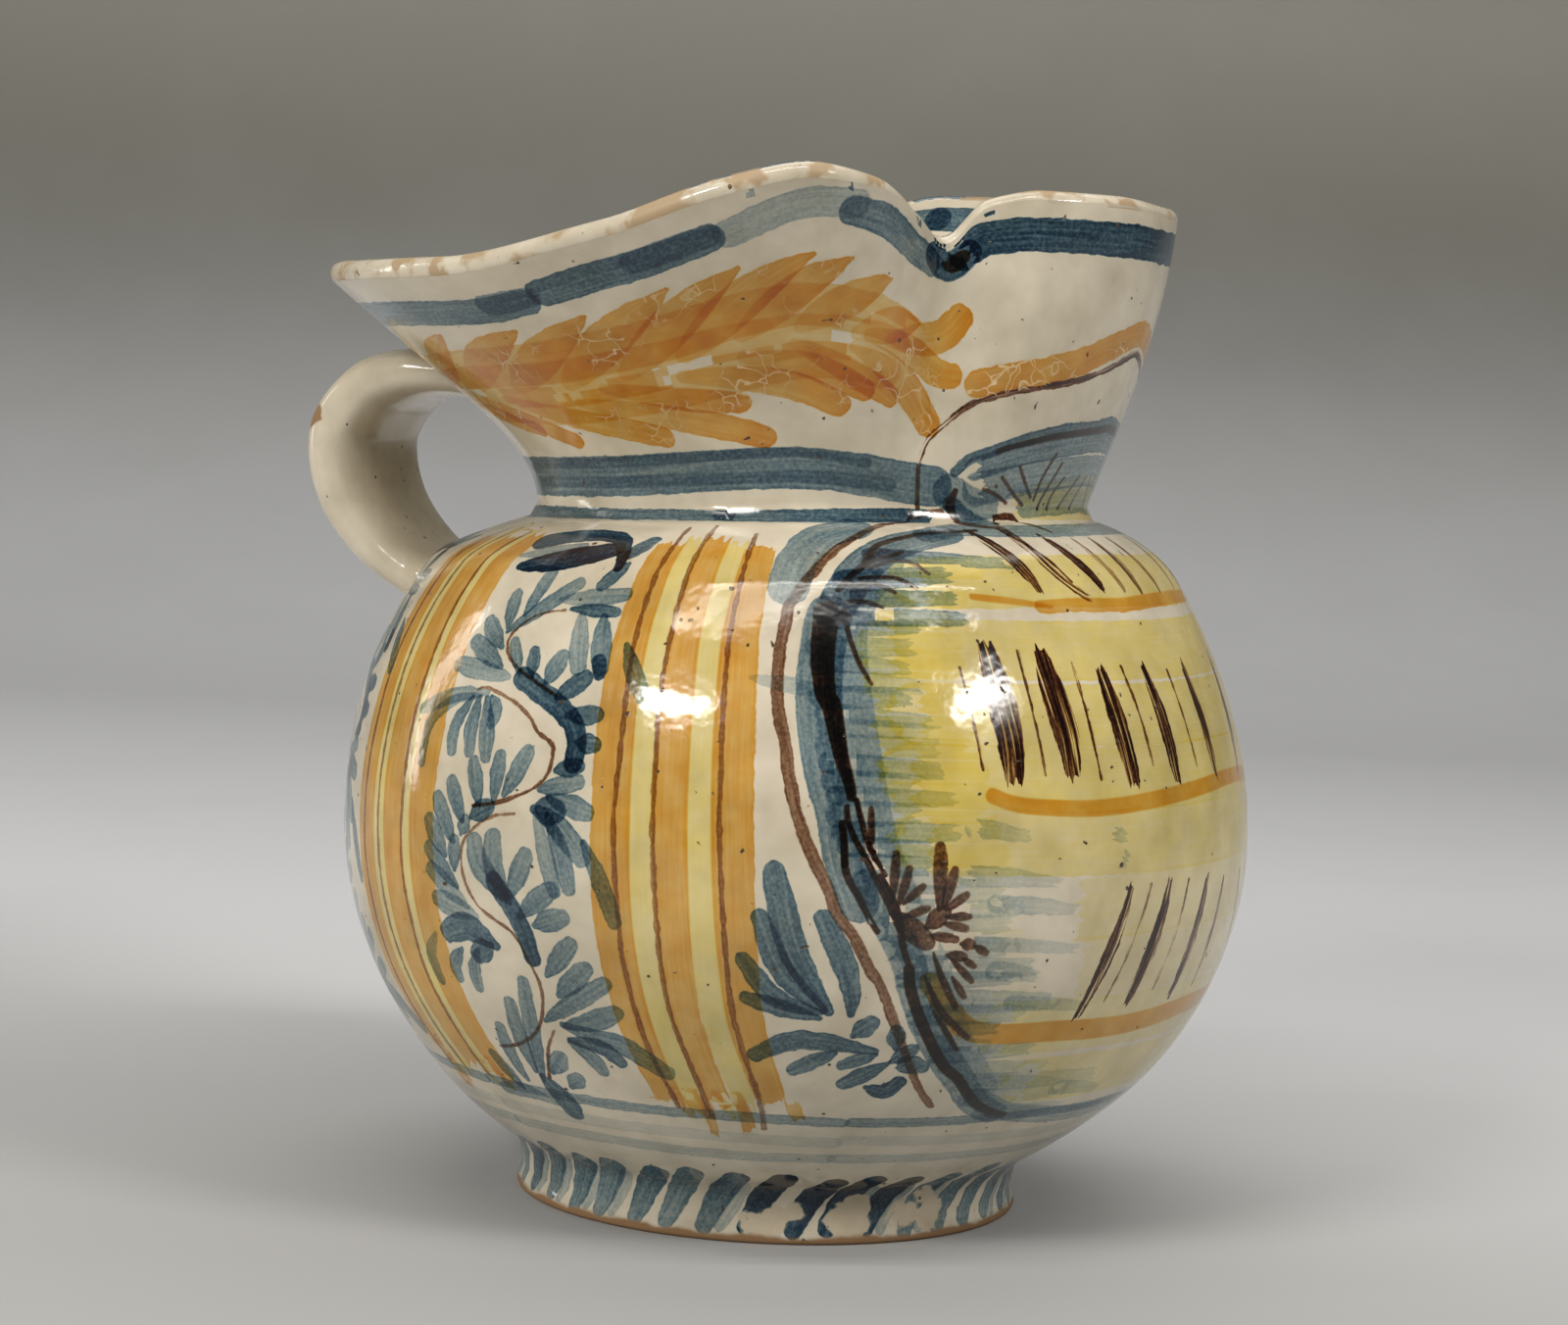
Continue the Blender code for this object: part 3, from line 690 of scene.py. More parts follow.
@dataclass
class Painter:
    """Lays brush strokes on the jug's surface, as places that the glaze material reads."""

    jug: bpy.types.Object
    mouth: Mouth
    # how far beside a stroke the faces hold its place, and how near its edge a face must be
    reach: float = 1.1
    margin: float = 0.4
    # step between the seeds of two strokes, which spreads them evenly
    spread: float = 0.618034
    count: int = 0
    crowded: dict[Coat, int] = field(default_factory=dict)
    layers: dict[Coat, list[Layer]] = field(default_factory=dict)

    def __post_init__(self) -> None:
        """Reads the mesh into arrays."""
        mesh = self.jug.data
        number = len(mesh.vertices)
        self.spots = np.empty(number * 3)
        mesh.vertices.foreach_get("co", self.spots)
        self.spots = self.spots.reshape(-1, 3) / MM
        self.normals = np.empty(number * 3)
        mesh.vertices.foreach_get("normal", self.normals)
        self.normals = self.normals.reshape(-1, 3)
        self.zones = np.empty(number, dtype=np.int32)
        mesh.attributes["zone"].data.foreach_get("value", self.zones)
        self.corner_vert = np.empty(len(mesh.loops), dtype=np.int32)
        mesh.loops.foreach_get("vertex_index", self.corner_vert)
        totals = np.empty(len(mesh.polygons), dtype=np.int32)
        mesh.polygons.foreach_get("loop_total", totals)
        self.corner_face = np.repeat(np.arange(len(totals)), totals)
        self.faces = len(totals)
        rows = self.mouth.body.foot_rows() + [
            (self.mouth.body.outer_radius(h * MM), h * MM) for h in range(13, 131)]
        rows.append((self.mouth.neck_radius, self.mouth.neck_height))
        self.heights = [row[1] / MM for row in rows]
        self.radii = [row[0] / MM for row in rows]
        for coat in Coat:
            self.layers[coat] = [
                Layer(np.tile(np.float32((0.0, FAR_OFF, 0.0)), (len(self.corner_vert), 1)),
                      *[np.zeros((self.faces, 3), dtype=np.float32) for _ in range(3)],
                      np.zeros(self.faces, dtype=bool))
                for _ in range(coat.layers)]

    def on_body(self, angle: float, height: float) -> Vector:
        """Point of the outside at an angle and a height in millimetres."""
        radius = float(np.interp(height, self.heights, self.radii)) * MM
        return self.mouth.body.place_turned(angle, radius, height * MM) / MM

    def on_mouth(self, angle: float, share: float) -> Vector:
        """Point of the mouth's outside at an angle and a share of its rise.

        Below 0 it lies on the shoulder.
        """
        if share < 0.0:
            return self.on_body(angle, self.mouth.neck_height / MM + share * SHOULDER_MM)
        return self.mouth.outer(angle, min(share, 1.0)) / MM

    def on_inner_mouth(self, angle: float, share: float) -> Vector:
        """Point of the mouth's inside at an angle and a share of its rise."""
        return self.mouth.inner(angle, min(max(share, 0.02), 1.0)) / MM

    def on_lip(self, angle: float, turn: float) -> Vector:
        """Point of the lip, turned in degrees from its outer face."""
        return self.mouth.lip(angle, turn) / MM

    def paint(self, pigment: Pigment, strokes: Sequence[Stroke],
              surface: Callable[[float, float], Vector] | None = None,
              zones: Sequence[Zone] = (Zone.BODY, Zone.MOUTH)) -> None:
        """Lays strokes of one pigment.

        Args:
            pigment: what the brush holds.
            strokes: the pulls, in the order in which they are made.
            surface: what turns a stroke's coordinates into a point; the body when left out.
            zones: parts of the surface that the strokes may reach.
        """
        allowed = np.isin(self.zones, [zone.value for zone in zones])
        for stroke in strokes:
            self.lay(pigment, stroke, surface or self.on_body, allowed)

    def lay(self, pigment: Pigment, stroke: Stroke,
            surface: Callable[[float, float], Vector], allowed: np.ndarray) -> None:
        """Lays one stroke on the first layer that has room for it."""
        self.count += 1
        path = np.array([tuple(surface(*row)) for row in sampled(stroke.points)])
        keep = np.ones(len(path), dtype=bool)
        keep[1:] = np.linalg.norm(np.diff(path, axis=0), axis=1) > 1e-4
        path = path[keep]
        if len(path) < 2:
            return
        wide = max(stroke.start, stroke.end) / 2 + stroke.swell
        reach = wide + self.reach
        low, high = path.min(axis=0) - reach, path.max(axis=0) + reach
        near = allowed & np.all((self.spots > low) & (self.spots < high), axis=1)
        number = np.flatnonzero(near)
        if not len(number):
            return
        clear = self.measure(path, self.spots[number], self.normals[number])[2]
        near[:] = False
        near[number[clear < reach]] = True
        chosen = np.zeros(self.faces, dtype=bool)
        chosen[self.corner_face[near[self.corner_vert]]] = True
        barred = ~allowed[self.corner_vert] & chosen[self.corner_face]
        chosen[self.corner_face[barred]] = False
        corners = np.flatnonzero(chosen[self.corner_face])
        if not len(corners):
            return
        verts = self.corner_vert[corners]
        along, side, short = self.measure(path, self.spots[verts], self.normals[verts])
        length = float(np.linalg.norm(np.diff(path, axis=0), axis=1).sum())
        share = np.clip(along / length, 0.0, 1.0)
        half = (stroke.start + (stroke.end - stroke.start) * share) / 2
        clear = short - half - stroke.swell * 4 * share * (1 - share)
        faces, first = np.unique(self.corner_face[corners], return_index=True)
        gap = np.minimum.reduceat(clear, first)
        crossed = np.minimum.reduceat(side, first) * np.maximum.reduceat(side, first) < 0.0
        chosen[:] = False
        chosen[faces[(gap < self.margin) | crossed]] = True
        coat, clear_light = pigment.value
        layers = self.layers[coat]
        clashes = [int(np.count_nonzero(layer.used & chosen)) for layer in layers]
        layer = layers[clashes.index(min(clashes))]
        if min(clashes):
            self.crowded[coat] = self.crowded.get(coat, 0) + 1
            chosen &= ~layer.used
        layer.used |= chosen
        kept = chosen[self.corner_face[corners]]
        corners = corners[kept]
        seed = (self.count * self.spread) % 1.0 * 50.0 + (DRY_FROM + 1.0 if stroke.dry else 1.0)
        layer.place[corners, 0] = along[kept]
        layer.place[corners, 1] = side[kept]
        layer.place[corners, 2] = -seed if stroke.flat else seed
        layer.size[chosen] = (length, stroke.start / 2, stroke.end / 2)
        layer.load[chosen] = (4 * stroke.swell, *stroke.load)
        layer.tint[chosen] = -np.log(linear(clear_light)[:3])

    @staticmethod
    def measure(path: np.ndarray, spots: np.ndarray,
                normals: np.ndarray) -> tuple[np.ndarray, np.ndarray, np.ndarray]:
        """Where points lie along and beside a path.

        Args:
            path: the stroke's points.
            spots: the points that are measured.
            normals: the surface's direction there.

        Returns:
            Distance along the path, signed distance beside it, and shortest distance.
        """
        steps = np.diff(path, axis=0)
        lengths = np.linalg.norm(steps, axis=1)
        begins = np.concatenate(([0.0], np.cumsum(lengths)[:-1]))
        offset = spots[:, None, :] - path[None, :-1, :]
        raw = np.einsum("ijk,jk->ij", offset, steps) / lengths ** 2
        held = np.clip(raw, 0.0, 1.0)
        gap = offset - held[:, :, None] * steps[None, :, :]
        distance = np.linalg.norm(gap, axis=2)
        best = distance.argmin(axis=1)
        rows = np.arange(len(spots))
        share = held[rows, best]
        last = len(lengths) - 1
        before = (best == 0) & (raw[rows, best] < 0.0)
        after = (best == last) & (raw[rows, best] > 1.0)
        share = np.where(before | after, raw[rows, best], share)
        over = np.where(before, -raw[rows, best], np.where(after, raw[rows, best] - 1.0, 0.0))
        over = over * lengths[best]
        shortest = distance[rows, best]
        beside = np.sqrt(np.maximum(shortest ** 2 - over ** 2, 0.0))
        across = np.cross(normals, steps[best])
        sign = np.sign(np.einsum("ij,ij->i", across, gap[rows, best]))
        return begins[best] + share * lengths[best], beside * sign, shortest

    def finish(self) -> None:
        """Writes the layers to the mesh as attributes."""
        mesh = self.jug.data
        for coat, layers in self.layers.items():
            for number, layer in enumerate(layers):
                for part, domain, values in (("place", "CORNER", layer.place),
                                             ("size", "FACE", layer.size),
                                             ("load", "FACE", layer.load),
                                             ("tint", "FACE", layer.tint)):
                    made = mesh.attributes.new(f"{coat.stem}_{number}_{part}", "FLOAT_VECTOR",
                                               domain)
                    made.data.foreach_set("vector", values.ravel())
        crowded = {coat.stem: number for coat, number in self.crowded.items()}
        LOG.info("%d brush strokes, short of room: %s", self.count, crowded)


def linear(code: str) -> tuple[float, float, float, float]:
    """Linear colour of an sRGB hex value."""
    parts = [int(code[i:i + 2], 16) / 255 for i in (0, 2, 4)]
    return (*[p / 12.92 if p <= 0.04045 else ((p + 0.055) / 1.055) ** 2.4 for p in parts], 1.0)


def add_node(tree: bpy.types.NodeTree, kind: str, inputs: dict | None = None,
             **settings) -> bpy.types.Node:
    """Adds a node to a tree.

    Args:
        tree: the tree.
        kind: the node's type, without the words that every shader node's type starts with.
        inputs: values, sockets or nodes for its inputs; a node stands for its first output.
        settings: its other properties.

    Returns:
        The new node.
    """
    node = tree.nodes.new(kind if kind.startswith("NodeGroup") else "ShaderNode" + kind)
    for name, value in settings.items():
        setattr(node, name, value)
    for key, value in (inputs or {}).items():
        if isinstance(value, bpy.types.Node):
            value = value.outputs[0]
        if isinstance(value, bpy.types.NodeSocket):
            tree.links.new(value, node.inputs[key])
        else:
            node.inputs[key].default_value = value
    return node


def layer_group() -> bpy.types.NodeTree:
    """Node group that keeps, of the layers of one coat, the mark that lies deepest.

    The state carried from layer to layer is: how far beyond the mark's ends, its half width
    there, and its load.
    """
    tree = bpy.data.node_groups.new("layer of brush marks", "ShaderNodeTree")
    for name in ("Place", "Size", "Load", "Tint"):
        tree.interface.new_socket(name, in_out="INPUT", socket_type="NodeSocketVector")
    for way in ("INPUT", "OUTPUT"):
        for name in ("Best Place", "Best State", "Best Tint", "Total"):
            tree.interface.new_socket(name, in_out=way, socket_type="NodeSocketVector")
        tree.interface.new_socket("Best Inside", in_out=way, socket_type="NodeSocketFloat")
    given = add_node(tree, "NodeGroupInput")
    along, side, _ = add_node(tree, "SeparateXYZ", {0: given.outputs["Place"]}).outputs
    length, first, last = add_node(tree, "SeparateXYZ", {0: given.outputs["Size"]}).outputs
    swell, full, spent = add_node(tree, "SeparateXYZ", {0: given.outputs["Load"]}).outputs

    share = add_node(tree, "Math", {0: along, 1: length}, operation="DIVIDE", use_clamp=True)
    width = add_node(tree, "Mix", {0: share, 2: first, 3: last})
    rest = add_node(tree, "Math", {0: 1.0, 1: share}, operation="SUBTRACT")
    hump = add_node(tree, "Math", {0: share, 1: rest}, operation="MULTIPLY")
    width = add_node(tree, "Math", {0: hump, 1: swell, 2: width}, operation="MULTIPLY_ADD")
    beyond = add_node(tree, "Math", {0: along, 1: length}, operation="SUBTRACT")
    behind = add_node(tree, "Math", {0: along, 1: -1.0}, operation="MULTIPLY")
    over = add_node(tree, "Math", {0: beyond, 1: behind}, operation="MAXIMUM")
    past = add_node(tree, "Math", {0: over, 1: 0.0}, operation="MAXIMUM")
    past = add_node(tree, "Math", {0: past, 1: past}, operation="MULTIPLY")
    away = add_node(tree, "Math", {0: side, 1: side, 2: past}, operation="MULTIPLY_ADD")
    away = add_node(tree, "Math", {0: away}, operation="SQRT")
    inside = add_node(tree, "Math", {0: width, 1: away}, operation="SUBTRACT")
    amount = add_node(tree, "Mix", {0: share, 2: full, 3: spent})

    deeper = add_node(tree, "Math", {0: inside, 1: given.outputs["Best Inside"]},
                      operation="GREATER_THAN")
    place = add_node(tree, "Mix", {0: deeper, 4: given.outputs["Best Place"],
                                   5: given.outputs["Place"]}, data_type="VECTOR").outputs[1]
    state = add_node(tree, "CombineXYZ", {0: over, 1: width, 2: amount})
    state = add_node(tree, "Mix", {0: deeper, 4: given.outputs["Best State"], 5: state},
                     data_type="VECTOR").outputs[1]
    tint = add_node(tree, "Mix", {0: deeper, 4: given.outputs["Best Tint"],
                                  5: given.outputs["Tint"]}, data_type="VECTOR").outputs[1]
    best = add_node(tree, "Math", {0: inside, 1: given.outputs["Best Inside"]},
                    operation="MAXIMUM")
    cover = add_node(tree, "MapRange", {0: inside, 1: -0.1, 2: 0.25})
    cover = add_node(tree, "Math", {0: cover, 1: amount}, operation="MULTIPLY")
    dimmed = add_node(tree, "VectorMath", {0: given.outputs["Tint"], "Scale": cover},
                      operation="SCALE")
    total = add_node(tree, "VectorMath", {0: dimmed, 1: given.outputs["Total"]}, operation="ADD")
    add_node(tree, "NodeGroupOutput", {0: place, 1: state, 2: tint, 3: total, 4: best})
    return tree


def brush_group() -> bpy.types.NodeTree:
    """Node group that draws the deepest mark with streaks and adds the others under it.

    What it gives is the optical density of the coat for red, green and blue.
    """
    tree = bpy.data.node_groups.new("brush stroke", "ShaderNodeTree")
    for name in ("Place", "State", "Tint", "Total"):
        tree.interface.new_socket(name, in_out="INPUT", socket_type="NodeSocketVector")
    for name in ("Inside", "Grain", "Drift"):
        tree.interface.new_socket(name, in_out="INPUT", socket_type="NodeSocketFloat")
    tree.interface.new_socket("Density", in_out="OUTPUT", socket_type="NodeSocketVector")
    given = add_node(tree, "NodeGroupInput")
    _, side, mark = add_node(tree, "SeparateXYZ", {0: given.outputs["Place"]}).outputs
    over, width, load = add_node(tree, "SeparateXYZ", {0: given.outputs["State"]}).outputs
    noises = []
    for scale, detail in (((0.42, 0.42, 0.42), 2.0), ((0.0, 0.9, 0.9), 1.0),
                          ((0.07, 1.7, 1.0), 2.5)):
        at = add_node(tree, "Mapping", {"Vector": given.outputs["Place"], "Scale": scale})
        noises.append(add_node(tree, "TexNoise", {"Vector": at, "Scale": 1.0, "Detail": detail}))
    waver, hair, streak = noises

    # edge that wavers by about a quarter of a millimetre
    shake = add_node(tree, "MapRange", {0: waver, 1: 0.25, 2: 0.75, 3: -0.24, 4: 0.24})
    thin = add_node(tree, "Math", {0: width, 1: 0.35}, operation="MULTIPLY")
    bound = add_node(tree, "Math", {0: thin, 1: -1.0}, operation="MULTIPLY")
    shake = add_node(tree, "Math", {0: shake, 1: thin}, operation="MINIMUM")
    shake = add_node(tree, "Math", {0: shake, 1: bound}, operation="MAXIMUM")
    edge = add_node(tree, "Math", {0: width, 1: shake}, operation="ADD")
    round_in = add_node(tree, "Math", {0: given.outputs["Inside"], 1: shake}, operation="ADD")

    # a flat brush ends in ragged hairs
    beside = add_node(tree, "Math", {0: side}, operation="ABSOLUTE")
    flat_in = add_node(tree, "Math", {0: edge, 1: beside}, operation="SUBTRACT")
    ragged = add_node(tree, "MapRange", {0: hair, 1: 0.3, 2: 0.7, 3: -0.2, 4: 2.2})
    end_in = add_node(tree, "Math", {0: over, 1: ragged}, operation="ADD")
    end_in = add_node(tree, "Math", {0: end_in, 1: -1.0}, operation="MULTIPLY")
    flat_in = add_node(tree, "Math", {0: flat_in, 1: end_in}, operation="MINIMUM")
    flat = add_node(tree, "Math", {0: mark, 1: 0.0}, operation="LESS_THAN")
    inside = add_node(tree, "Mix", {0: flat, 2: round_in, 3: flat_in})
    cover = add_node(tree, "MapRange", {0: inside, 1: -0.1, 2: 0.22},
                     interpolation_type="SMOOTHSTEP")

    # streaks of the bristles, about 0.5 mm apart and long in the stroke's direction; a dry
    # brush leaves bare lines between them
    dry = add_node(tree, "Math", {0: mark}, operation="ABSOLUTE")
    dry = add_node(tree, "Math", {0: dry, 1: DRY_FROM}, operation="GREATER_THAN")
    grain = add_node(tree, "Mix", {0: dry, 2: given.outputs["Grain"], 3: 1.25})
    low = add_node(tree, "Math", {0: 1.0, 1: grain}, operation="SUBTRACT")
    high = add_node(tree, "Math", {0: 1.0, 1: grain}, operation="ADD")
    body = add_node(tree, "MapRange", {0: streak, 1: 0.3, 2: 0.7, 3: low, 4: high})
    body = add_node(tree, "Math", {0: body, 1: 0.0}, operation="MAXIMUM")

    # pigment gathers in a darker line along the edge
    gather = add_node(tree, "MapRange", {0: inside, 1: 0.55, 2: 0.12, 3: 1.0, 4: 1.22},
                      interpolation_type="SMOOTHSTEP")
    amount = add_node(tree, "Math", {0: load, 1: body}, operation="MULTIPLY")
    amount = add_node(tree, "Math", {0: amount, 1: gather}, operation="MULTIPLY")
    amount = add_node(tree, "Math", {0: amount, 1: cover}, operation="MULTIPLY")

    # the difference from the plain mark that the total already holds
    alone = add_node(tree, "MapRange", {0: given.outputs["Inside"], 1: -0.1, 2: 0.25})
    alone = add_node(tree, "Math", {0: alone, 1: load}, operation="MULTIPLY")
    change = add_node(tree, "Math", {0: amount, 1: alone}, operation="SUBTRACT")
    change = add_node(tree, "VectorMath", {0: given.outputs["Tint"], "Scale": change},
                      operation="SCALE")
    density = add_node(tree, "VectorMath", {0: change, 1: given.outputs["Total"]}, operation="ADD")
    density = add_node(tree, "VectorMath", {0: density, "Scale": given.outputs["Drift"]},
                       operation="SCALE")
    add_node(tree, "NodeGroupOutput", {0: density})
    return tree


@dataclass(frozen=True)
class TinGlaze:
    """Tin glaze over red clay, painted with metal oxides and fired.

    It looks like thick glossy cream: the white is a little cloudy and dotted with pinholes, the
    painted oxides sink into it with soft edges, and the clay shows where the coat ends.
    """

    white: str = "D2C8B4"
    shade: str = "AFA48D"
    clay: str = "8A6A48"
    worn: str = "A0835C"
    crack: str = "DCCBA4"
    hole: str = "4A3A2C"
    # centre and radius of the handle's chip and of the flaked spots, in metres
    chip: tuple[float, ...] = (-0.0957, -0.0157, 0.1448, 0.0019)
    bald: tuple[tuple[float, ...], ...] = ()
    # noise and thresholds of a spot's edge, in radii; together they fray it
    fray: tuple[float, float, float] = (3.4, 2.6, 2.8)
    refraction: float = 1.52

    def spots(self, tree: bpy.types.NodeTree, at: bpy.types.NodeSocket,
              rough: bpy.types.Node, places: Sequence[tuple[float, ...]]) -> bpy.types.Node:
        """Adds ragged spots.

        Args:
            tree: the material's nodes.
            at: place on the object.
            rough: noise that frays the spots' edges.
            places: centre and radius of each, in metres.

        Returns:
            A node that gives 1 in the spots and 0 elsewhere.
        """
        mask = 0.0
        noise, inner, outer = self.fray
        for x, y, z, radius in places:
            away = add_node(tree, "VectorMath", {0: at, 1: (x, y, z)},
                            operation="DISTANCE").outputs["Value"]
            away = add_node(tree, "Math", {0: rough, 1: radius * noise, 2: away},
                            operation="MULTIPLY_ADD")
            spot = add_node(tree, "MapRange", {0: away, 1: radius * inner, 2: radius * outer,
                                               3: 1.0, 4: 0.0})
            mask = add_node(tree, "Math", {0: spot, 1: mask}, operation="MAXIMUM")
        return mask

    def density(self, tree: bpy.types.NodeTree, groups: Sequence[bpy.types.NodeTree],
                coat: Coat, grain: float, drift: bpy.types.Node) -> bpy.types.Node:
        """Adds what reads a coat's layers.

        Args:
            tree: the material's nodes.
            groups: the groups for one layer and for the brush.
            coat: what is read.
            grain: how strong its streaks are.
            drift: factor for how the oxide floated in the glaze.

        Returns:
            A node that gives the optical density of the coat.
        """
        nothing = (0.0, 0.0, 0.0)
        best: Sequence = ((0.0, FAR_OFF, 0.0), nothing, nothing, nothing, -FAR_OFF)
        for number in range(coat.layers):
            read = [add_node(tree, "Attribute",
                             attribute_name=f"{coat.stem}_{number}_{part}").outputs["Vector"]
                    for part in ("place", "size", "load", "tint")]
            best = add_node(tree, "Group", dict(enumerate([*read, *best])),
                            node_tree=groups[0]).outputs
        return add_node(tree, "Group", {**dict(enumerate(best)), 5: grain, 6: drift},
                        node_tree=groups[1])

    def material(self) -> bpy.types.Material:
        """Builds the glaze material."""
        made = bpy.data.materials.new("tin glazed earthenware, brush painted")
        made.use_nodes = True
        tree = made.node_tree
        shader = tree.nodes["Principled BSDF"]
        at = add_node(tree, "TexCoord").outputs["Object"]
        groups = (layer_group(), brush_group())

        # pigment floats a little unevenly: clouds of about 5 mm and grains of about 0.6 mm
        drift = add_node(tree, "TexNoise", {"Vector": at, "Scale": 190.0, "Detail": 3.0})
        drift = add_node(tree, "MapRange", {0: drift, 1: 0.3, 2: 0.7, 3: 0.8, 4: 1.2})
        grain = add_node(tree, "TexNoise", {"Vector": at, "Scale": 1500.0, "Detail": 1.0})
        dust = add_node(tree, "MapRange", {0: grain, 1: 0.3, 2: 0.7, 3: 0.78, 4: 1.22})
        ground = self.density(tree, groups, Coat.GROUND, 0.16, drift)
        over = self.density(tree, groups, Coat.OVER, 0.26, dust)
        density = add_node(tree, "VectorMath", {0: ground, 1: over}, operation="ADD")

        # spots of 4 to 9 mm where the painting has flaked from the foot
        rub = add_node(tree, "TexNoise", {"Vector": at, "Scale": 150.0, "Detail": 3.0})
        bald = self.spots(tree, at, rub, self.bald)
        kept = add_node(tree, "Math", {0: 1.0, 1: bald}, operation="SUBTRACT")
        density = add_node(tree, "VectorMath", {0: density, "Scale": kept}, operation="SCALE")
        parts = add_node(tree, "SeparateXYZ", {0: density}).outputs
        light = []
        for part in parts:
            minus = add_node(tree, "Math", {0: part, 1: -1.0}, operation="MULTIPLY")
            light.append(add_node(tree, "Math", {0: minus}, operation="EXPONENT"))
        let = add_node(tree, "CombineColor", dict(enumerate(light)))

        # cloudy white, in patches of about 12 mm
        cloud = add_node(tree, "TexNoise", {"Vector": at, "Scale": 80.0, "Detail": 3.0,
                                            "Roughness": 0.6})
        share = add_node(tree, "MapRange", {0: cloud, 1: 0.35, 2: 0.75, 3: 0.0, 4: 0.8})
        colour = add_node(tree, "Mix", {0: share, 6: linear(self.white),
                                        7: linear(self.shade)}, data_type="RGBA").outputs[2]
        colour = add_node(tree, "Mix", {0: 1.0, 6: colour, 7: let}, data_type="RGBA",
                          blend_type="MULTIPLY").outputs[2]

        # the thick orange of the feather is crackled to the white, in cells of about 4 mm
        bend = add_node(tree, "TexNoise", {"Vector": at, "Scale": 130.0, "Detail": 2.0})
        bent = add_node(tree, "VectorMath", {0: bend.outputs["Color"], "Scale": 0.012},
                        operation="SCALE")
        bent = add_node(tree, "VectorMath", {0: at, 1: bent}, operation="ADD")
        crack = add_node(tree, "TexVoronoi", {"Vector": bent, "Scale": 230.0},
                         feature="DISTANCE_TO_EDGE")
        crack = add_node(tree, "MapRange", {0: crack.outputs["Distance"], 1: 0.0, 2: 0.04,
                                            3: 1.0, 4: 0.0})
        thick = add_node(tree, "SeparateXYZ", {0: ground}).outputs[1]
        thick = add_node(tree, "MapRange", {0: thick, 1: 0.3, 2: 0.8, 3: 0.0, 4: 0.75})
        height = add_node(tree, "SeparateXYZ", {0: at}).outputs[2]
        patch = add_node(tree, "MapRange", {0: cloud, 1: 0.5, 2: 0.62})
        above = add_node(tree, "Math", {0: height, 1: 0.14}, operation="GREATER_THAN")
        patch = add_node(tree, "Math", {0: patch, 1: above}, operation="MULTIPLY")
        thick = add_node(tree, "Math", {0: thick, 1: patch}, operation="MULTIPLY")
        crack = add_node(tree, "Math", {0: crack, 1: thick}, operation="MULTIPLY")
        colour = add_node(tree, "Mix", {0: crack, 6: colour, 7: linear(self.crack)},
                          data_type="RGBA").outputs[2]

        # pinholes of about 0.4 mm
        hole = add_node(tree, "TexNoise", {"Vector": at, "Scale": 700.0, "Detail": 0.0})
        hole = add_node(tree, "MapRange", {0: hole, 1: 0.83, 2: 0.87})
        colour = add_node(tree, "Mix", {0: hole, 6: colour, 7: linear(self.hole)},
                          data_type="RGBA").outputs[2]

        # glaze worn through to the clay along the lip and at the bottom edge
        lip = add_node(tree, "Attribute", attribute_name="lip").outputs["Fac"]
        worn = add_node(tree, "MapRange", {0: rub, 1: 0.52, 2: 0.6, 3: 0.0, 4: 0.8})
        worn = add_node(tree, "Math", {0: worn, 1: lip}, operation="MULTIPLY")
        thin = add_node(tree, "Math", {0: bald, 1: 0.3}, operation="MULTIPLY")
        worn = add_node(tree, "Math", {0: worn, 1: thin}, operation="MAXIMUM")
        colour = add_node(tree, "Mix", {0: worn, 6: colour, 7: linear(self.worn)},
                          data_type="RGBA").outputs[2]
        wave = add_node(tree, "Math", {0: rub, 1: 0.0022, 2: height}, operation="MULTIPLY_ADD")
        bare = add_node(tree, "MapRange", {0: wave, 1: 0.0022, 2: 0.0032, 3: 1.0, 4: 0.0},
                        interpolation_type="SMOOTHSTEP")
        chip = self.spots(tree, at, rub, (self.chip,))
        bare = add_node(tree, "Math", {0: bare, 1: chip}, operation="MAXIMUM")
        colour = add_node(tree, "Mix", {0: bare, 6: colour, 7: linear(self.clay)},
                          data_type="RGBA").outputs[2]
        tree.links.new(colour, shader.inputs["Base Color"])

        # gloss: a little uneven, and duller where the wear and the bare clay are
        dull = add_node(tree, "MapRange", {0: rub, 1: 0.3, 2: 0.7, 3: 0.09, 4: 0.17})
        dull = add_node(tree, "Mix", {0: worn, 2: dull, 3: 0.6})
        dull = add_node(tree, "Mix", {0: bare, 2: dull, 3: 0.85})
        tree.links.new(dull.outputs[0], shader.inputs["Roughness"])
        shader.inputs["IOR"].default_value = self.refraction

        # surface: soft hollows of about 15 mm, orange peel of about 2 mm and pinholes
        hollow = add_node(tree, "TexNoise", {"Vector": at, "Scale": 65.0, "Detail": 1.0})
        peel = add_node(tree, "TexNoise", {"Vector": at, "Scale": 480.0, "Detail": 1.0})
        bump = add_node(tree, "Bump", {"Height": hollow, "Distance": 0.0009, "Strength": 0.5})
        bump = add_node(tree, "Bump", {"Height": peel, "Distance": 0.00006,
                                       "Strength": 0.8, "Normal": bump})
        bump = add_node(tree, "Bump", {"Height": hole, "Distance": 0.00025, "Strength": 0.8,
                                       "Normal": bump}, invert=True)
        tree.links.new(bump.outputs[0], shader.inputs["Normal"])
        return made


def leaves(load: Row, *rows: tuple) -> list[Stroke]:
    """Leaf strokes, each row being its width and then its points."""
    return [leaf(*row[1:], width=row[0], load=load) for row in rows]


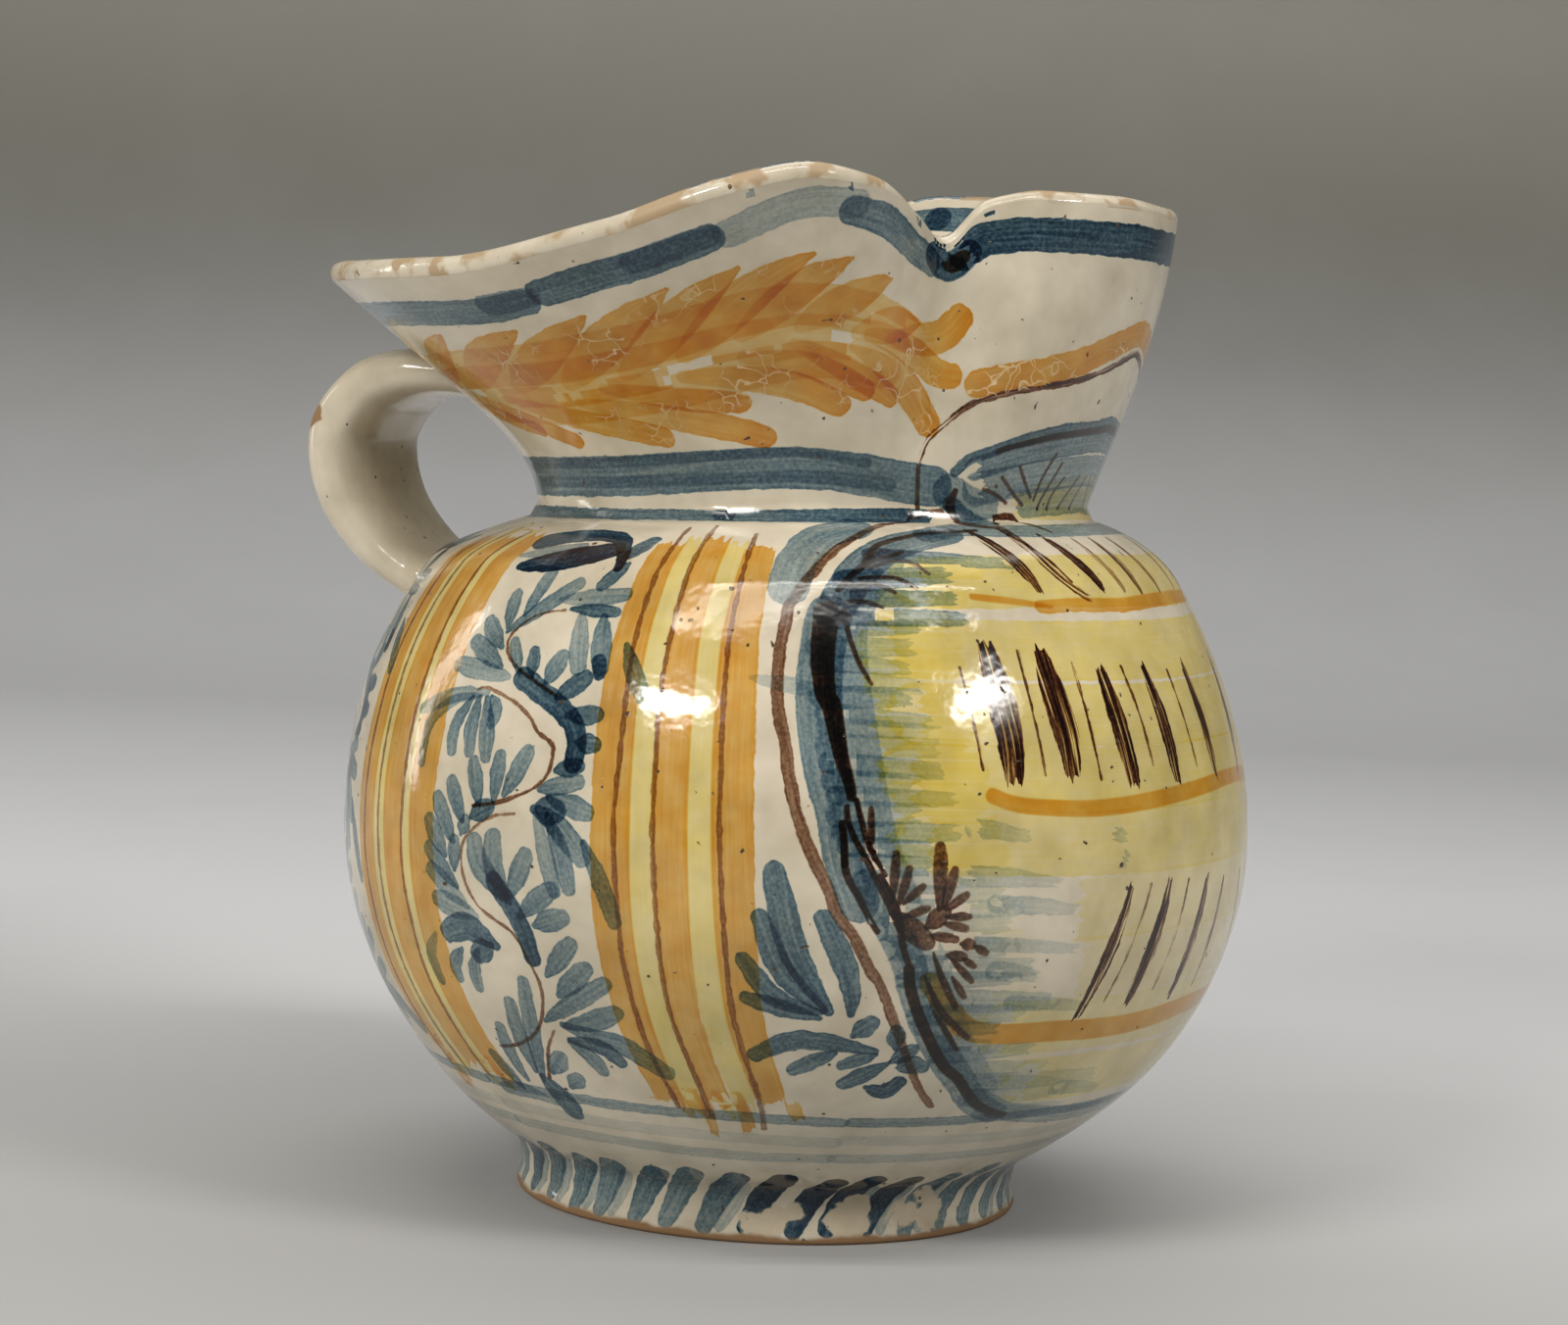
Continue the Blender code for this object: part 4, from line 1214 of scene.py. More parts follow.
def across(strokes: Sequence[Stroke], flip: bool) -> list[Stroke]:
    """Strokes for one half, where those that end on the middle line go right across it.

    Args:
        strokes: strokes of the near half.
        flip: whether the far half is painted, which has no need of those that went across.

    Returns:
        The strokes to lay.
    """
    made = []
    for stroke in strokes:
        if stroke.points[-1][0] != 0:
            made.append(stroke.moved(0.0, flip))
        elif not flip:
            beyond = tuple((-angle, height) for angle, height in reversed(stroke.points[:-1]))
            made.append(replace(stroke, points=stroke.points + beyond))
    return made


def scaled(rows: Sequence[tuple], factor: float) -> list[tuple]:
    """The same rows with their widths multiplied."""
    return [(row[0] * factor, *row[1:]) for row in rows]


@dataclass(frozen=True)
class LeafScroll:
    """Climbing scroll of leaf fans on thin stems, as tin-glaze painters fill a white panel."""

    shift: float = 0.0
    flip: bool = False
    drop: float = 0.0
    full: float = 1.3

    stems: tuple = (
        ((-104, 114.8), (-107, 114.1), (-109.5, 112.5), (-111.5, 109.5), (-110.9, 106.8),
         (-108.9, 104.7), (-105, 102.4), (-101.3, 100.4)),
        ((-114, 99.7), (-112.8, 100.4), (-110, 99.6), (-106.6, 98.1), (-104, 95.8),
         (-102.6, 93.6), (-100.2, 92), (-100.4, 87.2), (-101.8, 84.7), (-104.4, 82.6),
         (-108.1, 80.7), (-111.3, 79.8)),
        ((-104.7, 79.4), (-107.6, 78.6), (-110.3, 76.5), (-112.4, 73.3), (-112.7, 69.7),
         (-112, 66), (-110.3, 62.5), (-108.4, 60.8), (-104.8, 58.3), (-103, 54.2),
         (-101.6, 49.6), (-101.9, 45), (-104, 40.2), (-108.1, 36.9), (-112, 35.7)),
        ((-101, 41), (-102.5, 38), (-103.8, 34.5), (-104.8, 31)),
    )
    pale: tuple = (
        (2.6, (-105.5, 116.5), (-95.5, 118.3)), (3.0, (-118.4, 123.4), (-108, 125.3)),
        (2.9, (-109.3, 102.6), (-119.2, 103.6)), (3.0, (-101, 114.5), (-99, 105.5)),
        (2.4, (-112, 99.5), (-117, 98.6), (-121.5, 96.5), (-124, 95)),
        (2.0, (-113, 98.8), (-118, 97.3), (-121.5, 93.5), (-122, 89.5), (-121.8, 85.8)),
        (2.6, (-101.6, 80), (-100, 73.5), (-98.5, 66.8)),
        (3.0, (-111.8, 61.7), (-118.3, 67.3)), (3.4, (-110.5, 60.3), (-117.2, 62)),
        (3.0, (-105.5, 25.5), (-110.5, 27), (-116, 26.5)),
        (2.4, (-118.6, 55.3), (-120.6, 51), (-119.8, 46.7)),
    )
    middling: tuple = (
        (2.6, (-112.2, 110.3), (-103.6, 119.5)), (2.4, (-110.5, 113.5), (-109.3, 121)),
        (2.6, (-112.7, 111), (-113.8, 116.5)), (2.8, (-112.3, 107.5), (-116.5, 111.5)),
        (2.9, (-111.2, 104.2), (-117.5, 107.8)), (2.0, (-107.7, 103.3), (-110.3, 108.7)),
        (3.0, (-103.2, 102.4), (-101.8, 106.9)), (3.0, (-97.5, 114.5), (-95.8, 105.6)),
        (2.6, (-93, 110), (-89.5, 101.5)),
        (2.4, (-114.5, 98.3), (-116.5, 93), (-116.3, 88.8)),
        (2.6, (-113.3, 98.5), (-113.5, 93), (-113, 89.2)),
        (2.8, (-112, 98.5), (-110.8, 93.5), (-110.2, 88.8)),
        (2.4, (-111.2, 98.8), (-110, 97), (-110.2, 94.5)),
        (2.8, (-110.3, 80.3), (-111.9, 87.2)), (2.6, (-108, 81.3), (-107.8, 88.9)),
        (2.8, (-106.4, 82.5), (-103.7, 90.3)), (2.8, (-112.8, 76.9), (-115.3, 83.3)),
        (2.4, (-112.9, 74.5), (-112.3, 76.9)), (3.0, (-114.2, 73), (-117.6, 79.8)),
        (3.0, (-115.6, 70.4), (-119, 75.8)), (2.6, (-113.9, 68), (-114.1, 73)),
        (2.8, (-113.5, 65), (-118.8, 71)), (2.6, (-101.4, 84.2), (-96.2, 86.1)),
        (3.0, (-100, 83), (-94.7, 81.2)), (3.4, (-101.3, 80.9), (-98, 77.7), (-95, 73.3)),
        (2.6, (-95, 76), (-92.5, 69.5), (-90.7, 62.7)),
        (2.8, (-100, 80), (-98, 74.5), (-96.6, 67.7)),
        (3.6, (-105, 64), (-109.5, 69.5), (-110.6, 73.5)),
        (3.6, (-105.6, 64.5), (-107.5, 70), (-107.6, 74.5)),
        (3.2, (-104.8, 65), (-103.7, 69), (-102.7, 72.2)),
        (3.2, (-103.5, 61.7), (-101, 64.8), (-99, 66.9)),
        (3.2, (-101.4, 60.3), (-97.5, 62.4)), (3.0, (-100.3, 51.5), (-96.6, 57.7)),
        (3.2, (-99, 48), (-94.9, 53.4)), (2.8, (-101.9, 42.7), (-97, 47), (-92.3, 51.3)),
        (3.0, (-99, 42.2), (-95, 43.7), (-91.3, 46)),
        (3.2, (-99.4, 42.4), (-95, 40.9), (-91.2, 40), (-85.5, 35.5)),
        (2.6, (-98.9, 39.2), (-96.5, 37), (-95, 34.3)), (3.0, (-103.7, 32.3), (-101.3, 35.7)),
        (2.8, (-101.2, 29.8), (-99.4, 32)), (2.8, (-106.3, 30.3), (-104.9, 38.5), (-104.2, 49.2)),
        (2.8, (-107, 32), (-107.3, 38), (-107.3, 44.8)),
        (2.6, (-109.5, 29.5), (-110.5, 34), (-110.5, 39.6)),
        (2.6, (-111.5, 27.5), (-113.2, 31), (-114.5, 33.5)),
        (2.4, (-113.8, 53.5), (-115.8, 50.5), (-115.6, 48)),
        (2.4, (-110.8, 54), (-112.2, 50.5), (-112.2, 47)),
    )
    deep: tuple = (
        (4.5, (-116.5, 121.5), (-101.5, 125.2)), (2.6, (-98.5, 123.8), (-96, 127)),
        (2.4, (-97, 123.2), (-99.8, 119.5)), (2.0, (-103, 115.2), (-96, 115.3)),
        (2.2, (-105.6, 103.2), (-106.5, 107.4)), (3.0, (-101, 100), (-97.6, 103.7)),
        (2.8, (-99, 97.3), (-95, 97.8)), (2.8, (-97, 92.9), (-94.7, 92.8)),
        (2.6, (-99.4, 87.8), (-96.4, 88.9)), (3.0, (-111.4, 77.9), (-108.8, 80)),
        (4.0, (-101.8, 80.6), (-98.8, 80.8)), (2.6, (-98.9, 39.6), (-94, 38.9), (-92, 36.5)),
        (4.0, (-106, 31), (-103.5, 26.5), (-103, 24.2)),
        (4.0, (-107.6, 55.4), (-112, 58), (-116, 56.3)), (3.6, (-108.5, 55.3), (-111, 53.3)),
    )
    masses: tuple = (
        (4.2, (-107, 102.8), (-101.5, 99.3), (-98, 96), (-97, 92), (-97.2, 89.3)),
        (4.0, (-107.3, 67), (-104.8, 63), (-103, 58.5), (-102.2, 54.3)),
        (3.0, (-96.3, 106.8), (-95.8, 104.8)),
    )
    arch: tuple = ((-117, 126.3), (-112, 127.2), (-106, 127.5), (-101.5, 126.8), (-99, 124.5),
                   (-98.5, 122.5))

    def paint(self, painter: Painter) -> None:
        """Paints stems, leaves and the dark masses at their bases."""
        blue = [Stroke(self.arch, 6.5, 2.0, 0.0, (1.5, 2.6))]
        blue += leaves((0.4, 0.6), *scaled(self.pale, self.full))
        blue += leaves((0.9, 0.6), *scaled(self.middling, self.full))
        blue += leaves((1.2, 1.0), *scaled(self.deep[1:], self.full))
        blue += leaves((2.6, 2.2), *scaled(self.deep[:1], self.full))
        masses = [Stroke(row[1:], row[0], row[0] * 0.9, 0.1, (1.2, 1.6)) for row in self.masses]
        stems = [line(*stem, width=0.6, end=0.8, load=(0.8, 1.4)) for stem in self.stems]
        for pigment, strokes in ((Pigment.DARK, stems), (Pigment.BLUE, blue + masses)):
            painter.paint(pigment, [s.moved(self.shift, self.flip, self.drop) for s in strokes])


@dataclass(frozen=True)
class StripedBand:
    """Upright band of orange and yellow stripes parted by brown lines that run at their ends."""

    edges: tuple[float, ...]
    colours: tuple[Pigment, ...]
    lines: tuple[float, ...]
    top: float = 127.5
    bottom: float = 29.0
    # how far the stripes move towards the spout below the belly's middle: height, degrees
    drift: tuple[Row, ...] = ((27.0, 7.0), (40.0, 3.7), (46.0, 2.6), (53.0, 1.8), (65.0, 0.9),
                              (75.0, 0.2), (85.0, 0.0), (96.0, -0.2), (105.0, -0.6),
                              (116.0, -0.9), (128.0, -0.3))
    heights: tuple[float, ...] = (128, 121, 113, 103, 92, 80, 68, 57, 47, 38, 30)
    runs: int = 9
    seed: int = 3

    def at(self, angle: float, height: float) -> Row:
        """Place on the band for an angle at the belly's middle."""
        shift = float(np.interp(height, [row[0] for row in self.drift],
                                [row[1] for row in self.drift]))
        return angle + shift, height

    def paint(self, painter: Painter, flip: bool = False) -> None:
        """Paints each stripe with one pull, then the brown lines and the runs at the stripes' ends.
        """
        rng = random.Random(self.seed)
        strokes: dict[Pigment, list[Stroke]] = {pigment: [] for pigment in Pigment}
        for number, pigment in enumerate(self.colours):
            left, right = self.edges[number], self.edges[number + 1]
            wide = (right - left) * math.radians(1.0) * BELLY_MM
            top = self.top + rng.uniform(-1.0, 1.0)
            low = self.bottom + rng.uniform(-2.0, 2.0)
            rows = [h for h in self.heights if low < h < top]
            points = tuple(self.at((left + right) / 2 + rng.uniform(-0.12, 0.12), h)
                           for h in [top, *rows, low])
            load = (0.84, 0.74) if pigment is Pigment.ORANGE else (0.72, 0.68)
            strokes[pigment].append(Stroke(points, wide * 0.7 + 0.5, wide * 0.68 + 0.5,
                                           wide * 0.18, load, True))
        for angle in self.lines:
            low = self.bottom - rng.uniform(0.0, 4.0)
            rows = [h for h in self.heights if low < h < self.top - 1]
            points = [self.at(angle + rng.uniform(-0.16, 0.16), h)
                      for h in [self.top + rng.uniform(0.0, 2.0), *rows, low]]
            strokes[Pigment.DARK].append(line(*points, width=1.0, end=1.1, load=(0.8, 0.75)))
        for _ in range(self.runs):
            angle = rng.uniform(self.edges[0] + 1.0, self.edges[-1] + 1.0)
            length = rng.uniform(3.0, 9.0) if rng.random() < 0.4 else rng.uniform(1.0, 3.0)
            strokes[rng.choice((Pigment.ORANGE, Pigment.ORANGE, Pigment.YELLOW))].append(Stroke(
                (self.at(angle, self.bottom + 3.0), self.at(angle + 0.4, self.bottom),
                 self.at(angle + 1.2, self.bottom - length)),
                2.4, rng.uniform(1.0, 2.6), 0.2, (0.3, rng.uniform(0.5, 0.9)), True))
        for pigment, pulls in strokes.items():
            painter.paint(pigment, [pull.moved(0.0, flip) for pull in pulls])


@dataclass(frozen=True)
class FramedPanel:
    """Yellow panel on the front in a blue frame, filled with rows of brush marks."""

    frame_line: tuple = (
        (-44, 132.6), (-47.6, 132.2), (-51.7, 131.2), (-55.7, 130.3), (-59.7, 129.2),
        (-63, 127.8), (-65.9, 126.3), (-68.2, 124.3), (-70, 122.2), (-71.3, 120),
        (-72.2, 118.4), (-72.3, 115.9), (-72.7, 112.6), (-72.8, 109.4), (-72.6, 102),
        (-71.6, 96.6), (-71.1, 91.8), (-70.5, 87.8), (-70, 84.5), (-69, 80.6), (-68.1, 77.3),
        (-66.9, 73.8), (-65.7, 70.4), (-64.8, 66.9), (-62.2, 62), (-60.5, 57.3), (-58.8, 53.8),
        (-56.7, 47.6), (-53.8, 40), (-50.9, 34.2), (-48.3, 30.8))
    mass: tuple = ((-67, 117.5), (-67.3, 110.5), (-66.8, 104), (-66, 101.9), (-65.3, 97),
                   (-64.7, 93), (-63.8, 89), (-63.6, 87))
    under: tuple = (
        (8.0, 0.75, (-66.6, 117), (-67.6, 108), (-67.3, 98.4), (-66.8, 93.5), (-66, 88.7),
         (-65, 83.6), (-64.5, 79), (-63.6, 74), (-62.3, 69)),
        (7.0, 0.9, (-66.2, 117.5), (-63.4, 122.6), (-58.8, 126), (-52, 127.8), (-46, 128.6)),
        (5.0, 0.6, (-50, 128.4), (-44, 129.2), (-34, 129.2), (-22, 129.2), (-8, 129.4), (0, 129.4)),
        (6.0, 0.55, (-61.5, 72), (-56.4, 60), (-54.8, 53.8), (-52.7, 47.8), (-49.8, 42),
         (-46, 36.5), (-42, 31.5), (-37, 28.5)),
        (5.0, 0.35, (-42, 32.5), (-36, 29), (-28, 27.4), (-20, 26.4), (-8, 26.2), (0, 26.2)),
    )
    thin: tuple = (
        (0.8, (-64.1, 85.2), (-63.9, 82.6), (-62.9, 79.3), (-61.8, 76.7), (-60.6, 73.3),
         (-59.4, 70), (-58.2, 66.6)),
        (0.8, (-63, 86.4), (-62.3, 82.5), (-61.6, 79.2), (-60.4, 76), (-59.5, 73.9)),
        (1.0, (-64.6, 82.4), (-64.3, 79), (-64, 74), (-62.5, 70.2), (-61.1, 66.4), (-60, 64)),
        (1.1, (-60, 73.5), (-58, 68), (-56.8, 61.3), (-56, 58.5)),
        (1.6, (-55.8, 57.4), (-55.4, 54.2), (-53.9, 49.3), (-51.3, 43.4), (-48.7, 39),
         (-45.9, 36.3), (-43.4, 33), (-39.9, 30), (-35, 28)),
        (1.0, (-65.5, 121), (-63.7, 122.9), (-62, 124.2), (-59.7, 126.6), (-57.6, 127.4),
         (-54.1, 128.1), (-50.1, 128.7), (-46.4, 128.9), (-42.9, 129), (-39.5, 129.2)),
        (0.7, (-62.6, 123.6), (-59.9, 125), (-57.4, 125.5), (-55.4, 126.1)),
        (0.7, (-60.8, 124), (-56.8, 125), (-54.2, 124.7), (-52.1, 123.4)),
        (0.7, (-62.5, 122.6), (-59.7, 122.8), (-56.8, 122.7), (-54.3, 121.6)),
        (0.7, (-63.8, 121.5), (-60.4, 122), (-57.5, 120.9)),
        (0.7, (-64.2, 119.3), (-61.5, 119.4), (-59.3, 118.6)),
        (0.7, (-64.7, 118.1), (-64.2, 115), (-63.4, 111.8), (-62.4, 108.7), (-61.1, 105.9)),
        (1.0, (-61.2, 79.5), (-61.3, 85)),
    )
    fern: tuple = (
        (3.5, (-58.4, 67.3), (-54.1, 62.3)), (3.0, (-54.2, 65), (-52.3, 67.5)),
        (1.5, (-58.5, 69), (-58.3, 77.6)), (1.5, (-57.8, 68.5), (-56.7, 75)),
        (1.4, (-57.2, 69), (-55, 72)), (1.4, (-57, 66.7), (-54.3, 68.2)),
        (2.2, (-52.9, 68), (-53.1, 78.8)), (1.8, (-52.4, 68.3), (-51.3, 74.8)),
        (1.5, (-52.1, 68), (-49.7, 70.6)), (1.4, (-52, 66.8), (-49.2, 66.8)),
        (1.4, (-52.2, 65.6), (-49.4, 64.7)), (1.6, (-53.6, 63.5), (-50.6, 62.8)),
        (2.0, (-49.8, 62), (-48.5, 61.8)), (1.8, (-51.4, 60), (-49.3, 59.6)),
        (1.4, (-48.1, 61.6), (-46.5, 60.3)), (1.2, (-49.4, 59.4), (-47.8, 57.9)),
        (1.2, (-50.8, 59.2), (-47.8, 55.2)), (1.2, (-50.4, 56), (-48.4, 52.3)),
        (1.2, (-53.1, 60.3), (-51.7, 56), (-49.2, 50.3)),
        (1.2, (-53.9, 56.3), (-50.8, 49.4), (-46.6, 44.5)),
        (1.0, (-52.1, 49.8), (-47.7, 42.3)),
    )
    orange: tuple = (
        (1.4, (-46, 120.6), (-39, 120), (-33, 119.3)),
        (2.8, (-35, 119.3), (-27, 119.6), (-18, 119.4), (-10, 119.8), (0, 120)),
        (3.0, (-46.5, 87.6), (-43, 86), (-35, 85.2), (-29, 85.3), (-22, 86), (-13.5, 87),
         (-3.5, 88), (0, 88)),
        (4.4, (-53, 55), (-49.8, 49.5), (-46.6, 46), (-41.5, 45), (-34, 45), (-26, 44.7),
         (-17, 45), (-6, 46), (0, 46)),
    )
    sprigs: tuple = (
        (3.4, (-64.8, 49.3), (-69.5, 60), (-72.1, 73.5)),
        (2.8, (-62.1, 49), (-62.2, 52), (-63.5, 58), (-66.3, 66)),
        (2.8, (-65.4, 49.5), (-70.5, 56), (-73.5, 65.5)),
        (2.4, (-65.8, 49), (-71.5, 51.5), (-75.3, 58)), (2.2, (-66, 48), (-74.7, 51)),
        (2.6, (-58.3, 42), (-68, 43.8), (-73.5, 40.5)), (2.6, (-61.5, 45), (-59.5, 47.3)),
        (2.2, (-55.9, 42.6), (-56.2, 46)), (2.4, (-56, 40), (-53.7, 42.3)),
        (2.6, (-55.8, 40), (-51.8, 39)), (2.0, (-58.2, 41.3), (-62.3, 39.3)),
        (2.4, (-56.6, 39.5), (-61.7, 35.5)), (2.2, (-63.5, 41.5), (-68.5, 38)),
    )
    left_at: tuple[Row, ...] = ((28, -38.0), (34, -45.0), (44, -52.0), (56, -56.5),
                                (68, -61.0), (80, -64.5), (95, -66.5), (112, -68.0),
                                (120, -66.5), (125, -62.0), (129, -53.0))
    yellow: tuple[float, ...] = (0.4, 0.34, 0.22, 0.34, 0.6, 0.75)
    strays: tuple = ((-49, 82, -41), (-50, 74, -37), (-46, 69, -34), (-49, 62, -33),
                     (-45, 57, -38), (-29.5, 81, -27), (-28.5, 76.5, -26.5), (-42, 51, -30),
                     (-44, 36, -28), (-28, 33, -17))
    rows_of_marks: tuple = (
        (0.8, 1.0, 1.1, (-41.5, 129.2), (-37, 125.5), (-34, 120.8)),
        (0.9, 0.7, 0.0, (-33.5, 128.6), (-30, 125.6), (-27.6, 122.6)),
        (0.8, 1.0, 0.9, (-26.5, 128.6), (-23, 124.5), (-20.5, 120.8)),
        (0.8, 0.8, 0.4, (-18.8, 128), (-15.8, 121.4)), (0.8, 0.8, 0.7, (-13, 128), (-11, 121)),
        (0.8, 0.8, 0.5, (-6, 128), (-4, 121)),
        (0.7, 0.6, 0.0, (-49.4, 109), (-48.4, 101), (-47.6, 92)),
        (2.2, 2.8, 1.6, (-45.4, 114.4), (-44.6, 107), (-43.6, 97), (-43.6, 88.6)),
        (0.7, 0.6, 0.0, (-40.6, 112), (-40.0, 102), (-39.2, 91)),
        (1.6, 2.4, 1.9, (-37.2, 113.4), (-36.4, 106), (-35.4, 98.5), (-35.0, 89.4)),
        (0.7, 0.6, 0.0, (-32.2, 110), (-31.6, 101), (-30.8, 90)),
        (1.6, 2.4, 1.2, (-27.6, 110.2), (-26.3, 99), (-25.0, 87.6)),
        (0.7, 0.6, 0.0, (-23.2, 109), (-22.0, 101), (-21.2, 92)),
        (0.9, 1.6, 1.2, (-18.6, 110.2), (-17.4, 101), (-16.4, 90), (-16, 87.6)),
        (0.7, 0.6, 0.0, (-12.6, 108), (-11.8, 99), (-11.0, 91)),
        (1.0, 1.4, 0.8, (-7.6, 110), (-6.4, 99), (-5.4, 87.6)),
        (0.8, 1.2, 1.0, (-26, 72), (-28.2, 60), (-31.2, 46.4)),
        (0.7, 0.6, 0.0, (-22.6, 71), (-24.8, 60), (-27.0, 50)),
        (0.8, 1.2, 1.1, (-18.6, 72.4), (-20.4, 61), (-22.6, 48)),
        (0.7, 0.6, 0.0, (-14.6, 71), (-16.0, 61), (-17.6, 51)),
        (1.0, 1.0, 0.8, (-9.4, 72), (-11, 60), (-12.6, 48)),
        (0.8, 0.7, 0.3, (-4, 70), (-5.2, 60), (-6.2, 50)),
    )
    yellow_at: tuple = (35, 46, 57, 68, 79, 90)
    # how many of the thin lines are the heavy ones
    heavy: int = 5
    seed: int = 11

    def fill(self, rng: random.Random) -> dict[Pigment, list[Stroke]]:
        """Broad yellow washes over the panel and short blue pulls in from the frame.

        Args:
            rng: source of the small differences between pulls.

        Returns:
            Pulls of each pigment.
        """
        pulls: dict[Pigment, list[Stroke]] = {Pigment.BLUE: [], Pigment.YELLOW: []}
        edge = [row[0] for row in self.left_at], [row[1] for row in self.left_at]
        for height in range(35, 126, 11):
            start = float(np.interp(height, *edge)) + rng.uniform(9.0, 13.0)
            if 50.0 < height < 75.0:
                start += 14.0
            load = float(np.interp(height, self.yellow_at, self.yellow))
            pulls[Pigment.YELLOW].append(Stroke(
                ((start, height + rng.uniform(-1, 1)), (start / 2, height),
                 (0.0, height + rng.uniform(-0.3, 0.3))), 11.3, 11.3, 0.1, (load, load), True))
        height = 32.0
        while height < 127.0:
            start = float(np.interp(height, *edge))
            load = float(np.interp(height, self.yellow_at, self.yellow))
            wide = rng.uniform(3.4, 4.4)
            ahead = start + rng.uniform(4.5, 7.5)
            if height > 76.0:
                load *= 2.2
            elif height > 50.0:
                ahead += 5.0
            pulls[Pigment.YELLOW].append(Stroke(
                ((ahead, height), (ahead + 5, height + rng.uniform(-0.3, 0.3)),
                 (start + 18.0, height)), wide, wide, 0.1, (load * 0.45, load * 0.2), True))
            height += wide * 0.95
        pulls[Pigment.BLUE].append(Stroke(
            tuple((angle + 3.5, height) for height, angle in self.left_at[1:-1]), 6.0, 7.0,
            1.0, (0.2, 0.35)))
        height = 29.0
        while height < 128.0:
            start = float(np.interp(height, *edge))
            far = start + rng.uniform(9.0, 15.0)
            load = rng.uniform(0.35, 0.6)
            if 50.0 < height < 74.0:
                far, load = start + rng.uniform(12.0, 20.0), rng.uniform(0.25, 0.45)
            if height < 40.0:
                far, load = start + rng.uniform(14.0, 26.0), rng.uniform(0.2, 0.35)
            if height > 117.0:
                far, load = start + rng.uniform(14.0, 24.0), rng.uniform(0.75, 1.1)
            wide = rng.uniform(3.2, 5.0)
            tilt = rng.uniform(-0.6, 0.6)
            pulls[Pigment.BLUE].append(Stroke(
                ((start, height), ((start + far) / 2, height + tilt), (far, height + tilt * 2)),
                wide, wide * 0.7, 0.2, (load, load * rng.uniform(0.2, 0.45)), True))
            height += wide * 0.7
        for angle, height, far in self.strays:
            pulls[Pigment.BLUE].append(Stroke(
                ((angle, height), ((angle + far) / 2, height - 0.6), (far, height - 1.6)),
                rng.uniform(2.6, 4.2), 1.6, 0.3, (0.26, 0.1), True))
        return pulls

    def marks(self) -> list[Stroke]:
        """Rows of dry brush marks that are no letters: uprights and hairlines."""
        made = []
        for start, end, swell, *points in self.rows_of_marks:
            broad = max(start, end) + swell > 1.5
            load = (2.7, 2.3) if broad else (1.5, 1.2)
            made.append(Stroke(tuple(points), start, end, swell, load, broad, True))
        return made

    def paint(self, painter: Painter) -> None:
        """Paints the whole front: this half of it and the far half, which repeats it."""
        rng = random.Random(self.seed)
        for flip in (False, True):
            pulls = self.fill(rng)
            dark = [Stroke(self.frame_line, 1.1, 1.3, 0.55, (1.35, 1.05)),
                    Stroke(self.mass, 4.6, 1.8, 0.2, (2.3, 2.2), False, True),
                    Stroke(self.mass, 2.2, 1.0, 0.2, (0.8, 0.7))]
            dark += [Stroke(row[1:], row[0] * 1.3, row[0] * 1.1, 0.1, (2.2, 1.9), False, True)
                     for row in self.thin[:self.heavy]]
            dark += [Stroke(row[1:], row[0] * 1.2, row[0] * 1.1, 0.1, (2.0, 1.6), False, True)
                     for row in self.thin[self.heavy:]]
            dark += leaves((2.0, 1.3), *scaled(self.fern, 1.15))
            dark += self.marks()
            blue = [Stroke(row[2:], row[0], row[0] * 0.9, 0.2, (row[1], row[1] * 0.9))
                    for row in self.under]
            blue += leaves((1.15, 0.9), *scaled(self.sprigs, 1.5))
            blue.append(Stroke(((-72.5, 121.2), (-71.5, 124.8), (-68.3, 128), (-63, 129.4)),
                               7.5, 8.5, 0.0, (0.5, 0.75)))
            blue.append(leaf((-76, 106), (-68, 104.5), width=3.0, load=(0.2, 0.3)))
            blue.append(leaf((-58.6, 34.8), (-56, 34), (-54.4, 36), width=3.6, load=(1.4, 1.5)))
            orange = [Stroke(row[1:], row[0] * 0.95, row[0] * 0.6, row[0] * 0.12, (0.85, 0.7))
                      for row in self.orange]
            for pigment, strokes in ((Pigment.DARK, dark), (Pigment.ORANGE, orange),
                                     (Pigment.YELLOW, pulls[Pigment.YELLOW]),
                                     (Pigment.BLUE, blue), (Pigment.BLUE, pulls[Pigment.BLUE])):
                painter.paint(pigment, across(strokes, flip))


